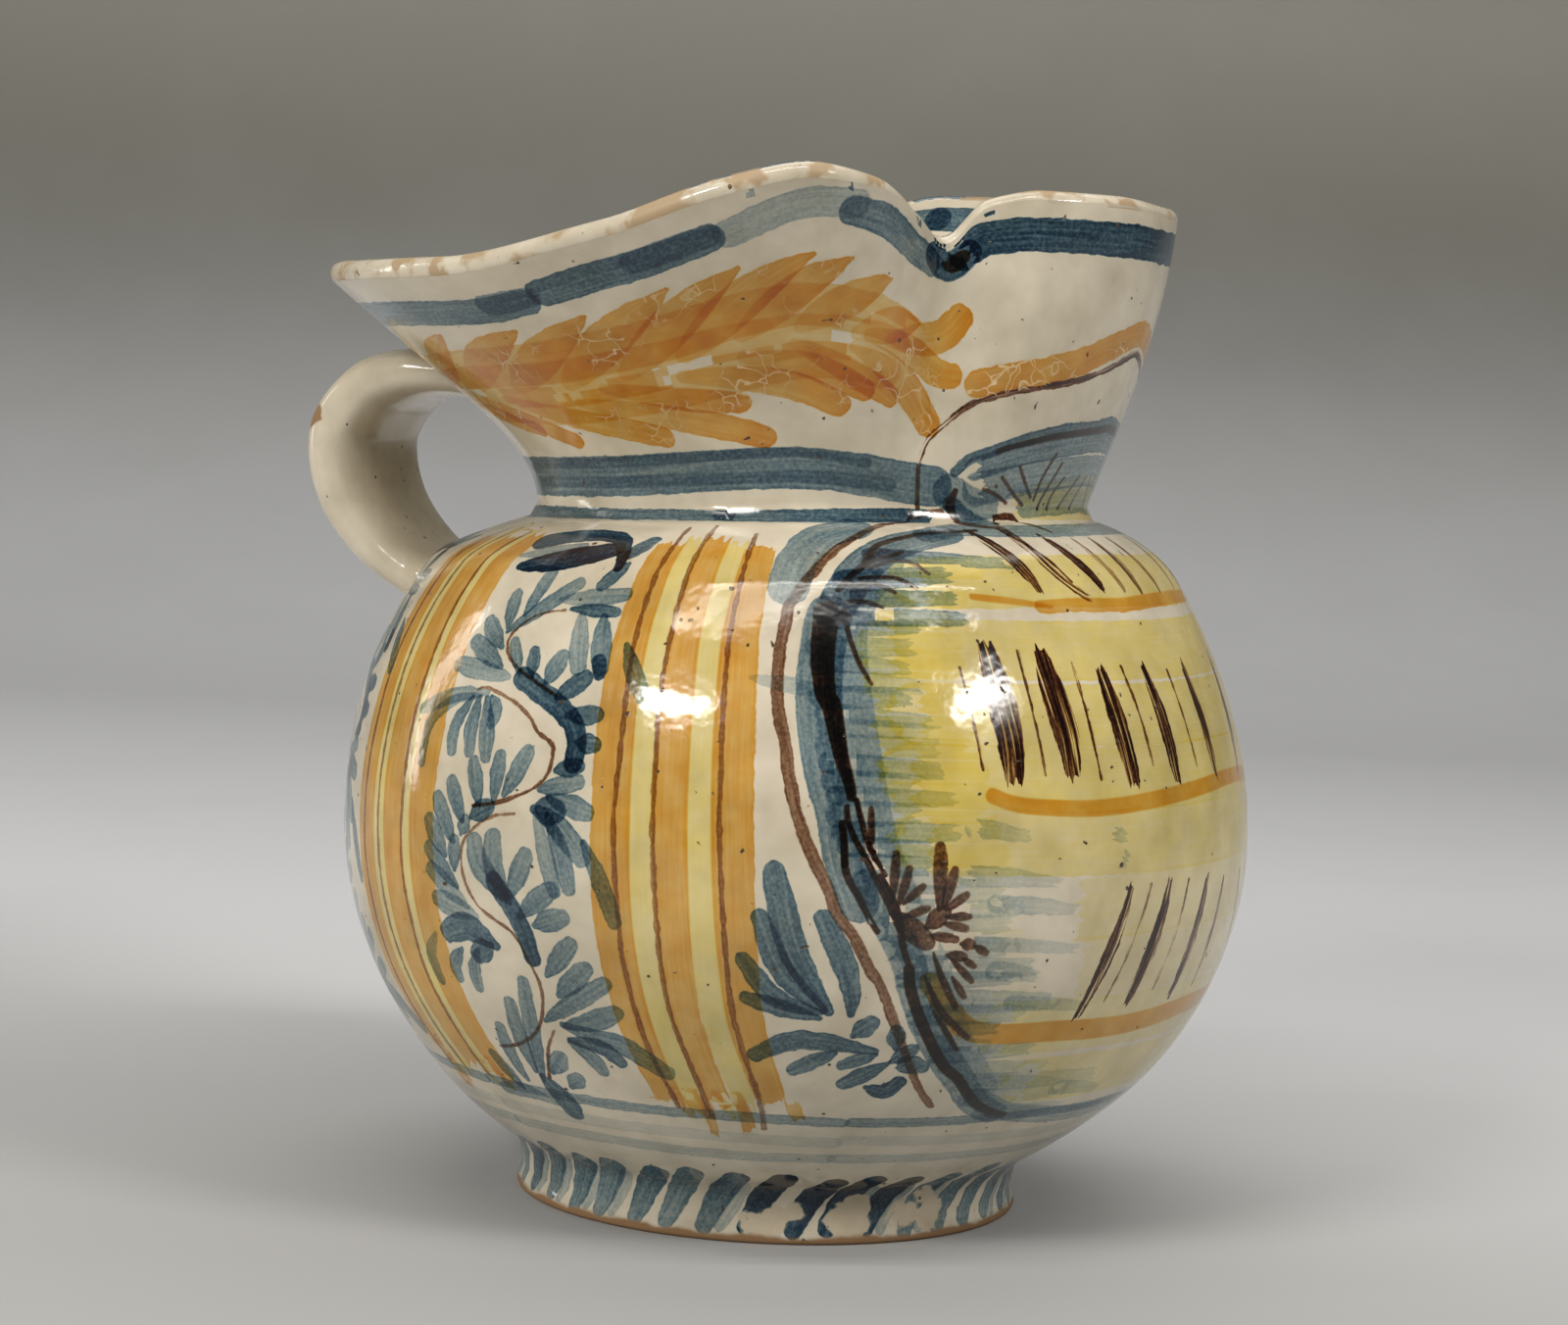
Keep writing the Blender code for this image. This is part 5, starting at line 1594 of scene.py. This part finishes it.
@dataclass(frozen=True)
class NeckPainting:
    """Rim bands, the crackled orange feather, the front crest and the blue band at the neck."""

    rim: tuple = (
        (6.0, 1.0, (-176, 0.87), (-160, 0.87), (-140, 0.87), (-120, 0.865), (-110, 0.87)),
        (4.6, 0.55, (-116, 0.88), (-109, 0.88)),
        (5.8, 1.1, (-107, 0.883), (-98, 0.89), (-90, 0.89), (-84.5, 0.895)),
        (4.5, 0.5, (-94, 0.9), (-84.5, 0.9)),
        (5.6, 0.35, (-82, 0.893), (-74, 0.925), (-66, 0.935)),
        (5.2, 0.95, (-66.5, 0.92), (-62, 0.915), (-55, 0.9), (-50, 0.91)),
        (4.6, 1.4, (-50, 0.93), (-46, 0.915), (-42, 0.905)),
        (5.6, 1.6, (-43, 0.915), (-34, 0.9), (-20, 0.898), (-4, 0.9), (0, 0.9)),
    )
    inner_rim: tuple = (
        (6.0, 0.9, (-178, 0.93), (-150, 0.93), (-120, 0.93), (-92, 0.93)),
        (6.0, 1.1, (-92, 0.93), (-78, 0.93), (-62, 0.93), (-50, 0.94)),
        (5.5, 1.1, (-48, 0.94), (-25, 0.93), (0, 0.93)),
    )
    lip_edge: tuple = (
        (1.6, 0.6, (-176, 160), (-150, 155), (-120, 150), (-98, 145)),
        (2.4, 1.0, (-96, 138), (-84, 128), (-74, 124), (-64, 128), (-58, 136)),
        (2.2, 1.3, (-57, 138), (-50, 120), (-46, 110), (-42, 130)),
        (1.6, 0.7, (-40, 140), (-25, 150), (0, 150)),
    )
    feather: tuple = (
        (5.5, (-156, 0.6), (-151, 0.7), (-147, 0.78)),
        (6.5, (-148, 0.6), (-139, 0.71), (-131, 0.79)),
        (6.8, (-136, 0.59), (-125, 0.71), (-114.5, 0.79)),
        (6.8, (-124, 0.58), (-113, 0.7), (-103, 0.79)),
        (7.0, (-112, 0.58), (-101, 0.71), (-91, 0.805)),
        (7.0, (-101, 0.58), (-91, 0.71), (-81.5, 0.805)),
        (7.0, (-91, 0.6), (-80.5, 0.73), (-71.5, 0.81)),
        (6.2, (-82, 0.62), (-73, 0.73), (-66, 0.81)),
        (6.0, (-73, 0.62), (-65.5, 0.71), (-59.3, 0.785)),
        (6.0, (-64, 0.62), (-57, 0.68), (-52, 0.72)), (7.2, (-58, 0.63), (-49, 0.7), (-43, 0.745)),
        (6.4, (-62, 0.62), (-52, 0.63), (-44, 0.585)),
        (6.8, (-64, 0.58), (-54, 0.52), (-48, 0.425)),
        (5.6, (-74, 0.57), (-65, 0.5), (-57, 0.46)),
        (5.0, (-152, 0.56), (-140, 0.47), (-128, 0.39)),
        (5.6, (-144, 0.56), (-131, 0.45), (-119, 0.335)),
        (6.2, (-130, 0.53), (-113, 0.42), (-98.5, 0.31)),
        (6.4, (-112, 0.5), (-95, 0.38), (-79.5, 0.265)),
        (6.0, (-106, 0.54), (-93, 0.45), (-83.5, 0.4)),
        (6.6, (-92, 0.53), (-78, 0.46), (-66.5, 0.385)),
        (6.0, (-82, 0.55), (-71, 0.5), (-62, 0.45)),
    )
    # how many of the feather's leaves, counted from its first, end in a point
    pointed: int = 10
    spine: tuple = (
        (11.0, (-150, 0.575), (-128, 0.59), (-104, 0.585), (-80, 0.59), (-57, 0.605)),
        (10.0, (-146, 0.65), (-120, 0.67), (-96, 0.67), (-74, 0.685), (-53, 0.67)),
        (9.0, (-140, 0.51), (-116, 0.5), (-92, 0.5), (-68, 0.525), (-58, 0.53)),
    )
    spout_orange: tuple = ((-38.5, 0.525), (-33, 0.535), (-26, 0.555), (-18, 0.59), (-10, 0.635),
                           (0, 0.68))
    brown_line: tuple = ((-49, -0.03), (-49.3, 0.17), (-49.3, 0.26), (-47.5, 0.37), (-43, 0.44),
                         (-36, 0.48), (-24, 0.515), (-13, 0.555), (-3.5, 0.61), (0, 0.625))
    crest: tuple[Stroke, ...] = (
        Stroke(((-41.5, 0.22), (-38.4, 0.27), (-34.3, 0.295), (-30, 0.325), (-25.3, 0.35),
                (-17.5, 0.38), (-8, 0.395), (0, 0.415)), 2.0, 2.4, 0.2, (1.1, 1.0)),
        Stroke(((-37, 0.23), (-24, 0.3), (-8, 0.34), (0, 0.35)), 4.5, 5.0, 0.0, (0.8, 0.9), True),
        Stroke(((-36, 0.13), (-22, 0.19), (-8, 0.22), (0, 0.23)), 6.5, 6.5, 0.0, (0.6, 0.7), True),
        Stroke(((-26, 0.04), (-14, 0.06), (0, 0.08)), 5.5, 6.0, 0.0, (0.45, 0.5), True),
        Stroke(((-42.5, 0.12), (-38, 0.04), (-33, 0.02)), 6.5, 5.0, 0.4, (0.65, 0.5)),
        Stroke(((-42, 0.03), (-39, -0.03), (-33, -0.05)), 3.2, 2.6, 0.4, (1.1, 0.8)))
    crest_yellow: tuple[Stroke, ...] = (
        Stroke(((-27, 0.02), (-14, 0.03), (0, 0.04)), 5.0, 6.0, 0.3, (0.5, 0.8), True),
        Stroke(((-22, 0.1), (-11, 0.12), (0, 0.14)), 4.0, 5.0, 0.3, (0.3, 0.5), True))
    band: tuple[Stroke, ...] = (
        Stroke(((-176, 0.155), (-150, 0.155), (-130, 0.15), (-100, 0.15), (-75, 0.145),
                (-46, 0.15)), 8.0, 7.6, 0.0, (0.85, 0.9)),
        Stroke(((-150, 0.215), (-120, 0.215), (-90, 0.21), (-60, 0.195)), 2.6, 2.0, 0.0,
               (0.4, 0.5)),
        Stroke(((-150, 0.12), (-110, 0.115), (-80, 0.11), (-55, 0.12)), 2.2, 2.6, 0.0,
               (0.35, 0.5)),
        Stroke(((-176, -0.04), (-140, -0.035), (-110, -0.04), (-86, -0.04)), 3.0, 2.6, 0.0,
               (1.0, 0.9)),
        Stroke(((-88, -0.04), (-70, -0.035), (-48, -0.03)), 2.4, 3.2, 0.2, (0.9, 1.5)))
    crest_black: tuple = ((-32.5, 0.3), (-27.5, 0.325), (-20, 0.355), (-11, 0.375), (-3, 0.39),
                          (0, 0.395))
    hairs: tuple = (
        ((-28.3, 0.045), (-31.8, 0.105), (-34.5, 0.13)), ((-23.5, 0.03), (-30.5, 0.19)),
        ((-21.5, 0.085), (-26.5, 0.235)), ((-20.3, 0.07), (-19.5, 0.19), (-17.5, 0.29)),
        ((-18.5, 0.0), (-17.5, 0.1), (-14.5, 0.255)), ((-15, 0.0), (-14.5, 0.1), (-12, 0.19)),
        ((-10.5, 0.01), (-8.5, 0.1), (-5.5, 0.2)), ((-5, 0.0), (-3.5, 0.1), (-1.5, 0.2)),
    )
    crescent: tuple = ((-41, 0.12), (-42, 0.04), (-41.3, -0.04), (-38, -0.075), (-34, -0.085))
    curl: tuple = ((-33, 130.2), (-32, 131.3), (-29, 131.8), (-26, 131.4), (-23.5, 130),
                   (-22, 129))
    dry_pull: tuple = ((-33.5, 129.5), (-32, 126.8), (-30.5, 124.2), (-28, 122), (-24.5, 120.3))

    def paint(self, painter: Painter) -> None:
        """Paints both halves of the neck and mouth."""
        outside = (Zone.BODY, Zone.MOUTH)
        for flip in (False, True):
            def turned(strokes: Sequence[Stroke]) -> list[Stroke]:
                """The strokes on this half."""
                return across(strokes, flip)

            rim = [Stroke(row[2:], row[0] * 1.06, row[0], 0.2, (row[1], row[1] * 0.9),
                          row[-1][0] == 0)
                   for row in self.rim]
            dark = [line(*hair, width=0.8, load=(2.0, 1.5)) for hair in self.hairs]
            dark += [Stroke(self.crest_black, 1.1, 1.3, 0.2, (2.0, 2.2)),
                     Stroke(self.crescent, 1.2, 1.0, 0.6, (2.2, 1.6)),
                     Stroke(self.brown_line, 0.9, 1.3, 0.1, (1.5, 1.9), False, True),
                     leaf((-47, 0.925), (-45, 0.915), (-43, 0.91), width=3.0,
                          load=(1.6, 1.8))]
            for pigment, strokes in (
                    (Pigment.BLUE, [*rim, *self.crest, *self.band]),
                    (Pigment.YELLOW, self.crest_yellow),
                    (Pigment.ORANGE, [Stroke(row[1:], row[0] * 0.5, row[0] * 0.14,
                                             row[0] * 0.42, (0.3, 1.1))
                                      for row in self.feather[:self.pointed]]),
                    (Pigment.ORANGE, [Stroke(row[1:], row[0] * 0.42, row[0] * 0.72,
                                             row[0] * 0.14, (0.3, 1.1))
                                      for row in self.feather[self.pointed:]]),
                    (Pigment.ORANGE, [Stroke(row[1:], row[0], row[0] * 0.7, 0.8, (0.5, 0.42))
                                      for row in self.spine]),
                    (Pigment.ORANGE, [Stroke(self.spout_orange, 5.2, 2.0, 0.7, (1.0, 1.1))]),
                    (Pigment.DARK, dark)):
                painter.paint(pigment, turned(strokes), painter.on_mouth, outside)
            painter.paint(Pigment.DARK, turned([
                Stroke(self.curl, 0.9, 0.9, 0.4, (2.0, 1.6)),
                Stroke(self.dry_pull, 2.6, 1.6, 0.0, (1.6, 1.3), True, True)]))
            inner = [Stroke(row[2:], row[0], row[0], 0.2, (row[1], row[1]), row[-1][0] == 0)
                     for row in self.inner_rim]
            edge = [Stroke(row[2:], row[0], row[0], 0.1, (row[1], row[1]))
                    for row in self.lip_edge]
            painter.paint(Pigment.BLUE, turned(edge), painter.on_lip, (Zone.LIP,))
            painter.paint(Pigment.BLUE, turned(inner), painter.on_inner_mouth,
                          (Zone.INNER_MOUTH,))


@dataclass(frozen=True)
class FootPainting:
    """Slanted blue strokes round the foot, the line above them and pale wash rings."""

    strokes: int = 40
    low: float = 2.2
    high: float = 15.2
    # the stretch where the strokes are darkest, and how often a stroke has a pale second one
    dark: Row = (-70.0, -38.0)
    dark_load: float = 2.2
    doubled: float = 0.7
    seed: int = 5

    def paint(self, painter: Painter) -> None:
        """Paints the foot all round."""
        rng = random.Random(self.seed)
        pulls = []
        step = 360.0 / self.strokes
        for i in range(self.strokes):
            angle = -180.0 + step * (i + 0.5) + rng.uniform(-0.9, 0.9)
            tall = self.high + rng.uniform(-0.8, 0.8)
            load = rng.uniform(0.85, 1.35)
            if self.dark[0] < angle < self.dark[1]:
                load = self.dark_load
            pulls.append(Stroke(((angle - 5.6, self.low + rng.uniform(-0.4, 1.0)),
                                 (angle - 4.4, 5.0), (angle - 2.0, 9.0),
                                 (angle + 1.6, tall - 2.6)),
                                3.4, 5.2, 0.3, (load * 0.7, load * 1.25)))
            if rng.random() < self.doubled:
                pulls.append(Stroke(((angle - 2.0, self.low + 0.5), (angle, 6.0),
                                     (angle + 3.0, 11.0)), 2.2, 3.0, 0.2,
                                    (0.3, rng.uniform(0.2, 0.5))))
        rings = []
        for start in range(-180, 180, 60):
            rings.append(line(*[(start + part, 27.5 + rng.uniform(-0.2, 0.2))
                                for part in (1, 15, 30, 45, 59.5)], width=2.8,
                              load=(0.55, 0.5)))
            for height, load in ((23.0, 0.1), (19.0, 0.2)):
                rings.append(line(*[(start + part, height + rng.uniform(-0.4, 0.4))
                                    for part in (1, 20, 40, 59.5)], width=3.4,
                                  load=(load, load)))
        painter.paint(Pigment.BLUE, pulls + rings, zones=(Zone.FOOT, Zone.BODY))


@dataclass
class PaintedJug:
    """The whole jug: its fine body, its brushwork and its glaze."""

    vessel: Vessel
    # angle and height of each flaked spot on the foot, and its radius in millimetres
    flaked: tuple = ((-68, 3.6, 4.4), (-63, 6, 2.6), (-51.5, 4.0, 3.4), (-49, 7.4, 2.4),
                     (-37, 5, 3.6), (-31, 4, 3.0), (-33.5, 9, 2.2))

    def mark_lip(self, jug: bpy.types.Object) -> None:
        """Writes which points lie on the lip, where the glaze is rubbed."""
        zones = np.empty(len(jug.data.vertices), dtype=np.int32)
        jug.data.attributes["zone"].data.foreach_get("value", zones)
        made = jug.data.attributes.new("lip", "FLOAT", "POINT")
        made.data.foreach_set("value", (zones == Zone.LIP.value).astype(np.float32))

    def decorate(self, jug: bpy.types.Object) -> None:
        """Lays the brushwork."""
        painter = Painter(jug, self.vessel.mouth)
        for scroll in (LeafScroll(), LeafScroll(shift=-48.0, drop=-1.0),
                       LeafScroll(flip=True, drop=0.6),
                       LeafScroll(shift=48.0, flip=True, drop=-0.8)):
            scroll.paint(painter)
        three = (Pigment.ORANGE, Pigment.YELLOW, Pigment.ORANGE)
        five = (*three, Pigment.YELLOW, Pigment.ORANGE)
        for band in (StripedBand((-94.1, -89.6, -86.5, -82.7, -79.5, -75.0), five,
                                 (-91.2, -86.5, -78.7)),
                     StripedBand((-138.5, -133.5, -130.0, -125.5, -123.3, -118.6), five,
                                 (-136.5, -131.8, -125.4), seed=8),
                     StripedBand((-178.0, -174.0, -170.5, -166.0), three, (-176.2, -168.6),
                                 seed=14)):
            band.paint(painter)
            band.paint(painter, flip=True)
        for painting in (FramedPanel(), NeckPainting(), FootPainting()):
            painting.paint(painter)
        painter.finish()

    def build(self) -> bpy.types.Object:
        """Builds and dresses the jug.

        Returns:
            The finished piece.
        """
        jug = self.vessel.build()
        self.mark_lip(jug)
        self.decorate(jug)
        body = self.vessel.mouth.body
        bald = tuple((*body.place_turned(angle, body.outer_radius(height * MM), height * MM),
                      radius * MM) for angle, height, radius in self.flaked)
        jug.data.materials.append(TinGlaze(bald=bald).material())
        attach(jug, "root")
        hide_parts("jug")
        LOG.info("painted_jug: %d faces", len(jug.data.polygons))
        return jug


@dataclass(frozen=True)
class Camera:
    """Camera at the photograph's place."""

    place: tuple[float, float, float] = (0.25699, -0.69816, 0.16205)
    heading: float = 110.3192
    pitch: float = -4.5768
    roll: float = 2.8452
    lens: float = 89.12
    sensor: float = 36.0

    def add(self) -> bpy.types.Object:
        """Adds the camera and makes it the scene's."""
        turn, tilt = math.radians(self.heading), math.radians(self.pitch)
        roll = math.radians(self.roll)
        ahead = Vector((math.cos(turn) * math.cos(tilt), math.sin(turn) * math.cos(tilt),
                        math.sin(tilt)))
        level = Vector((math.sin(turn), -math.cos(turn), 0.0))
        upright = level.cross(ahead)
        right = level * math.cos(roll) + upright * math.sin(roll)
        top = upright * math.cos(roll) - level * math.sin(roll)
        data = bpy.data.cameras.new("camera")
        data.lens = self.lens
        data.sensor_width = self.sensor
        camera = bpy.data.objects.new("camera", data)
        axes = Matrix((right, top, -ahead)).transposed().to_4x4()
        camera.matrix_world = Matrix.Translation(self.place) @ axes
        bpy.context.collection.objects.link(camera)
        bpy.context.scene.camera = camera
        return camera


@dataclass(frozen=True)
class Studio:
    """Pale floor that sweeps up into a grey backdrop, both with painted shade, soft boxes and a dim
    room.
    """

    turn: float = 20.2
    front: float = -1.3
    back: float = 0.95
    sweep: float = 0.55
    wall: float = 1.3
    half: float = 2.2
    steps: int = 16

    def backdrop(self) -> bpy.types.Object:
        """Makes the floor and backdrop as one swept sheet."""
        bm = bmesh.new()
        profile = [(self.front, 0.0), (self.back, 0.0)]
        for i in range(1, self.steps + 1):
            turn = math.pi / 2 * i / self.steps
            profile.append((self.back + self.sweep * math.sin(turn),
                            self.sweep * (1 - math.cos(turn))))
        profile.append((self.back + self.sweep, self.wall))
        verts = [bm.verts.new((-self.half, y, z)) for y, z in profile]
        edges = [bm.edges.new(pair) for pair in zip(verts, verts[1:])]
        made = bmesh.ops.extrude_edge_only(bm, edges=edges)["geom"]
        far = [item for item in made if isinstance(item, bmesh.types.BMVert)]
        bmesh.ops.translate(bm, verts=far, vec=(2 * self.half, 0.0, 0.0))
        turn = Matrix.Rotation(math.radians(self.turn), 3, "Z")
        bmesh.ops.rotate(bm, verts=bm.verts, cent=(0, 0, 0), matrix=turn)
        bmesh.ops.recalc_face_normals(bm, faces=bm.faces)
        mesh = bpy.data.meshes.new("studio_floor")
        bm.to_mesh(mesh)
        bm.free()
        mesh.shade_smooth()
        floor = bpy.data.objects.new("studio_floor", mesh)
        bpy.context.collection.objects.link(floor)
        mesh.materials.append(self.paper())
        return floor

    def paper(self) -> bpy.types.Material:
        """Matt background paper, pale on the floor and grey behind, with painted shade: darker
        towards the floor's front, and darker low on the backdrop than higher up.
        """
        made = bpy.data.materials.new("matt background paper, painted shade")
        made.use_nodes = True
        tree = made.node_tree
        shader = tree.nodes["Principled BSDF"]
        at = add_node(tree, "TexCoord").outputs["Object"]
        height = add_node(tree, "SeparateXYZ", {0: at}).outputs[2]
        share = add_node(tree, "MapRange", {0: height, 1: 0.0, 2: 0.28},
                         interpolation_type="SMOOTHSTEP")
        mottle = add_node(tree, "TexNoise", {"Vector": at, "Scale": 14.0, "Detail": 3.0})
        mottle = add_node(tree, "MapRange", {0: mottle, 3: -0.06, 4: 0.06})
        share = add_node(tree, "Math", {0: share, 1: mottle}, operation="ADD", use_clamp=True)
        # painted shade: the floor's colour darkens towards the front
        near = add_node(tree, "SeparateXYZ", {0: at}).outputs[1]
        near = add_node(tree, "MapRange", {0: near, 1: -0.12, 2: 0.32, 3: 0.0, 4: 1.0},
                        interpolation_type="SMOOTHSTEP")
        floor = add_node(tree, "Mix", {0: near, 6: linear("AAABAC"), 7: linear("D4D6DA")},
                         data_type="RGBA").outputs[2]
        # painted shade: the backdrop is darker low down and lighter higher up
        wall = add_node(tree, "MapRange", {0: height, 1: 0.16, 2: 0.36})
        wall = add_node(tree, "Mix", {0: wall, 6: linear("74736B"), 7: linear("A2A198")},
                        data_type="RGBA").outputs[2]
        colour = add_node(tree, "Mix", {0: share, 6: floor, 7: wall}, data_type="RGBA").outputs[2]
        tree.links.new(colour, shader.inputs["Base Color"])
        shader.inputs["Roughness"].default_value = 0.8
        return made

    @staticmethod
    def soft_box(name: str, aim: Vector, azimuth: float, elevation: float, distance: float,
                 size: Row, power: float, gloss: bool = True) -> None:
        """Adds a rectangular soft box.

        Args:
            name: name of the light.
            aim: what it points at.
            azimuth: direction to it in degrees, from +X.
            elevation: its height as an angle in degrees.
            distance: how far it stands.
            size: width and height in metres.
            power: watts.
            gloss: whether it shows as a highlight.
        """
        data = bpy.data.lights.new(name, "AREA")
        data.shape = "RECTANGLE"
        data.size, data.size_y = size
        data.energy = power
        data.color = linear("FFFBF4")[:3]
        around, up = math.radians(azimuth), math.radians(elevation)
        towards = Vector((math.cos(around) * math.cos(up), math.sin(around) * math.cos(up),
                          math.sin(up)))
        light = bpy.data.objects.new(name, data)
        light.visible_glossy = gloss
        light.rotation_mode = "QUATERNION"
        light.rotation_quaternion = towards.to_track_quat("Z", "Y")
        light.location = aim + towards * distance
        bpy.context.collection.objects.link(light)

    def lights(self) -> None:
        """Adds the soft boxes and strips round the jug, and the room's dim light."""
        left, right = Vector((0.009, -0.081, 0.101)), Vector((0.057, -0.058, 0.105))
        top = Vector((0.03, -0.06, 0.12))
        self.soft_box("left soft box", left, -106.0, 32.0, 1.3, (0.44, 0.18), 8.4)
        self.soft_box("right soft box", right, -15.0, 35.0, 1.3, (0.38, 0.15), 6.6)
        self.soft_box("long strip overhead", top, -60.0, 66.0, 1.5, (1.9, 0.07), 7.5)
        self.soft_box("second strip overhead", top, -60.0, 60.0, 1.5, (1.5, 0.04), 3.5)
        self.soft_box("side strip", Vector((-0.09, 0.0, 0.13)), 180.0, 12.0, 1.2, (0.10, 0.7),
                      1.6)
        self.soft_box("low side fill", Vector((-0.0933, -0.0171, 0.1344)), -132.0, -9.0, 0.6,
                      (0.2, 0.3), 1.3, gloss=False)
        self.soft_box("rear soft box", Vector((-0.05, 0.04, 0.0)), 105.0, 76.0, 1.2,
                      (1.2, 0.8), 5.0)
        world = bpy.data.worlds.new("dim room")
        bpy.context.scene.world = world
        world.use_nodes = True
        shade = world.node_tree.nodes["Background"]
        shade.inputs["Color"].default_value = linear("DDE0E2")
        shade.inputs["Strength"].default_value = 0.10
        scene = bpy.context.scene
        scene.view_settings.view_transform = "Standard"


def main() -> None:
    """Builds the scene in order and reports each piece."""
    logging.basicConfig(level=logging.INFO, format="%(name)s: %(message)s")
    Camera().add()
    studio = Studio()
    LOG.info("stage: %s", studio.backdrop().name)
    studio.lights()
    mouth = Mouth(Body())
    jug = PaintedJug(Vessel(mouth, Strap(mouth))).build()
    LOG.info("piece: %s", jug.name)


if __name__ == "__main__":
    main()
